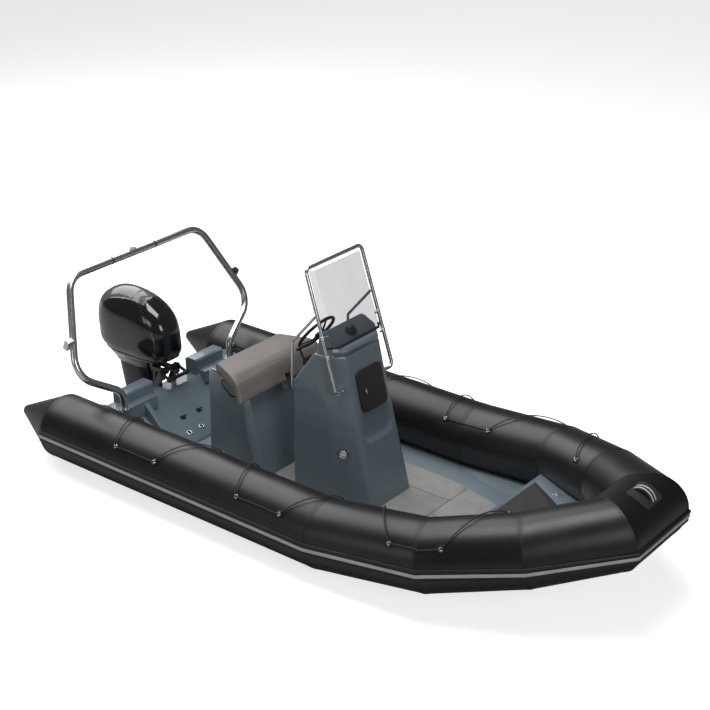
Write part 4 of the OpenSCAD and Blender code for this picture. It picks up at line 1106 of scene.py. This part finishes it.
def remeshed(bm, voxel):
    me = bpy.data.meshes.new("pad")
    bmesh.ops.recalc_face_normals(bm, faces=bm.faces)
    bm.to_mesh(me)
    bm.free()
    ob = bpy.data.objects.new("pad", me)
    scene.collection.objects.link(ob)
    cutter = bmesh.new()
    add_box(cutter, Matrix.Translation((1.53, 0.065, CUSH_Z - 0.118)), 0.10, 0.058, 0.09)
    cm = bpy.data.meshes.new("cut")
    cutter.to_mesh(cm)
    cutter.free()
    co = bpy.data.objects.new("cut", cm)
    scene.collection.objects.link(co)
    boo = ob.modifiers.new("Boolean", "BOOLEAN")
    boo.operation = "DIFFERENCE"
    boo.solver = "EXACT"
    boo.object = co
    r = ob.modifiers.new("Remesh", "REMESH")
    r.mode = "VOXEL"
    r.voxel_size = voxel
    dg = bpy.context.evaluated_depsgraph_get()
    out = bpy.data.meshes.new_from_object(ob.evaluated_get(dg))
    bpy.data.objects.remove(ob)
    bpy.data.objects.remove(co)
    return out


def inflate(me, cap, frames=20):
    """Pressure swells the pad, no point moves more than cap, and the result is kept as a mesh."""
    ob = bpy.data.objects.new("pad", me)
    scene.collection.objects.link(ob)
    old = [v.co.copy() for v in me.vertices]
    c = ob.modifiers.new("Cloth", "CLOTH")
    s = c.settings
    s.quality = 4
    s.mass = 0.35
    s.tension_stiffness = 20
    s.compression_stiffness = 20
    s.shear_stiffness = 8
    s.bending_stiffness = 2
    s.use_pressure = True
    s.uniform_pressure_force = 4
    s.effector_weights.gravity = 0
    c.point_cache.frame_start = 1
    c.point_cache.frame_end = frames
    for f in range(1, frames + 1):
        scene.frame_set(f)
    dg = bpy.context.evaluated_depsgraph_get()
    out = bpy.data.meshes.new_from_object(ob.evaluated_get(dg))
    bpy.data.objects.remove(ob)
    scene.frame_set(1)
    for v, o in zip(out.vertices, old):
        d = v.co - o
        if d.length > cap:
            d = d * (cap / d.length)
        if o.z < CUSH_Z + 0.004:
            d.z = max(d.z, 0)
            if o.x < 1.49:
                d.x = max(d.x, 0)
        v.co = o + d
    return out


pad = remeshed(cushion_body(), 0.006)
pad = inflate(pad, 0.006)
bm = bmesh.new()
bm.from_mesh(pad)
for k in range(2):
    bmesh.ops.smooth_vert(bm, verts=bm.verts, factor=0.5, use_axis_x=True, use_axis_y=True, use_axis_z=True)
# Sewn line where the end panels meet the main panel.
for v in bm.verts:
    edge = abs(abs(v.co.y) - (cush_w(v.co.x) - 0.012))
    if edge < 0.006 and v.normal.y * v.co.y > 0.02 and abs(v.normal.y) < 0.9:
        v.co -= v.normal * 0.0016 * (1 - edge / 0.006)
cushion = put("cushion", bm, VINYL, body="seat_top", replaces=["seat_cushion"], angle=180,
              sub=1)

from mathutils.bvhtree import BVHTree
tree = BVHTree.FromPolygons([v.co.copy() for v in cushion.data.vertices],
                            [tuple(p.vertices) for p in cushion.data.polygons])
for side in (-1, 1):
    loop = [Vector((x, side * cush_w(x), z)) for x, z in SIDE]
    dense = []
    for a, b in zip(loop, loop[1:] + loop[:1]):
        n = max(1, int((b - a).length / 0.012))
        for k in range(n):
            q = a.lerp(b, k / n)
            co, no, idx, dist = tree.find_nearest(q)
            dense.append(co + no * 0.0006)
    curve_tube("piping_" + ("starboard" if side < 0 else "port"), dense, 0.0026, PIPING, body="seat_top",
               cyclic=True, res=2)

# Hook under the notch, then the eyes of the cord handles.
curve_tube("seat_hook", smooth_path([Vector(p) for p in ((1.494, 0.03, 0.752), (1.506, 0.03, 0.735),
           (1.513, 0.032, 0.70), (1.513, 0.045, 0.690), (1.512, 0.075, 0.694))], 6), 0.004, STEEL)
for side in (-1, 1):
    bm = bmesh.new()
    for x, y, z in ((1.234, 0.378, 0.8394), (1.377, 0.392, 0.742)):
        add_disc(bm, aim((x, side * (y - 0.006), z), (0, side, 0.05)), 0.014, 0.012, 0.008, 28)
    put("handle_eyes_" + ("starboard" if side < 0 else "port"), bm, CHROME, bevel=0.001)

# ---------------------------------------------------------------- stage and light
ground = bmesh.new()
bmesh.ops.create_grid(ground, x_segments=2, y_segments=2, size=300)
me = bpy.data.meshes.new("ground")
ground.to_mesh(me)
ground.free()
floor = bpy.data.objects.new("ground", me)
scene.collection.objects.link(floor)


def floor_material():
    """Pale to the camera and darker to the lights, so that it doesn't flood the underside."""
    m = bpy.data.materials.new("ground")
    m.use_nodes = True
    nt = m.node_tree
    b = nt.nodes["Principled BSDF"]
    b.inputs["Base Color"].default_value = (0.8, 0.8, 0.8, 1)
    b.inputs["Roughness"].default_value = 0.95
    b.inputs["Specular IOR Level"].default_value = 0.05
    b.inputs["Emission Color"].default_value = (1, 1, 1, 1)
    b.inputs["Emission Strength"].default_value = 0.72
    dull = nt.nodes.new("ShaderNodeBsdfDiffuse")
    dull.inputs["Color"].default_value = (0.45, 0.45, 0.45, 1)
    ray = nt.nodes.new("ShaderNodeLightPath")
    mix = nt.nodes.new("ShaderNodeMixShader")
    nt.links.new(ray.outputs["Is Camera Ray"], mix.inputs[0])
    nt.links.new(dull.outputs[0], mix.inputs[1])
    nt.links.new(b.outputs[0], mix.inputs[2])
    nt.links.new(mix.outputs[0], nt.nodes["Material Output"].inputs["Surface"])
    return m


me.materials.append(floor_material())
world = bpy.data.worlds.new("studio")
scene.world = world
world.use_nodes = True
wn = world.node_tree
bg = wn.nodes["Background"]
path = wn.nodes.new("ShaderNodeLightPath")
cmix = wn.nodes.new("ShaderNodeMix")
cmix.data_type = "RGBA"
cmix.inputs["A"].default_value = (0.10, 0.10, 0.105, 1)
cmix.inputs["B"].default_value = (1, 1, 1, 1)
wn.links.new(path.outputs["Is Camera Ray"], cmix.inputs["Factor"])
wn.links.new(cmix.outputs["Result"], bg.inputs["Color"])
bg.inputs["Strength"].default_value = 1.0


def area(name, loc, target, size, size_y, power, color=(1, 1, 1)):
    l = bpy.data.lights.new(name, "AREA")
    l.shape = "RECTANGLE"
    l.size = size
    l.size_y = size_y
    l.energy = power
    l.color = color
    o = bpy.data.objects.new(name, l)
    scene.collection.objects.link(o)
    o.location = loc
    o.rotation_euler = (Vector(target) - Vector(loc)).to_track_quat("-Z", "Y").to_euler()
    return o


area("aft_high", (-5.0, 1.5, 7.5), (1.0, 0.2, 0.3), 10.5, 8.5, 760)
area("overhead", (2.6, -0.6, 8.5), (2.4, 0, 0.3), 5, 4, 360)
area("front", (9.5, -4.0, 4.0), (2.5, 0, 0.6), 3, 3, 125)
area("side", (0.0, -9.5, 3.5), (1.5, 0, 0.5), 4, 2.5, 60)

scene.view_settings.view_transform = "Standard"
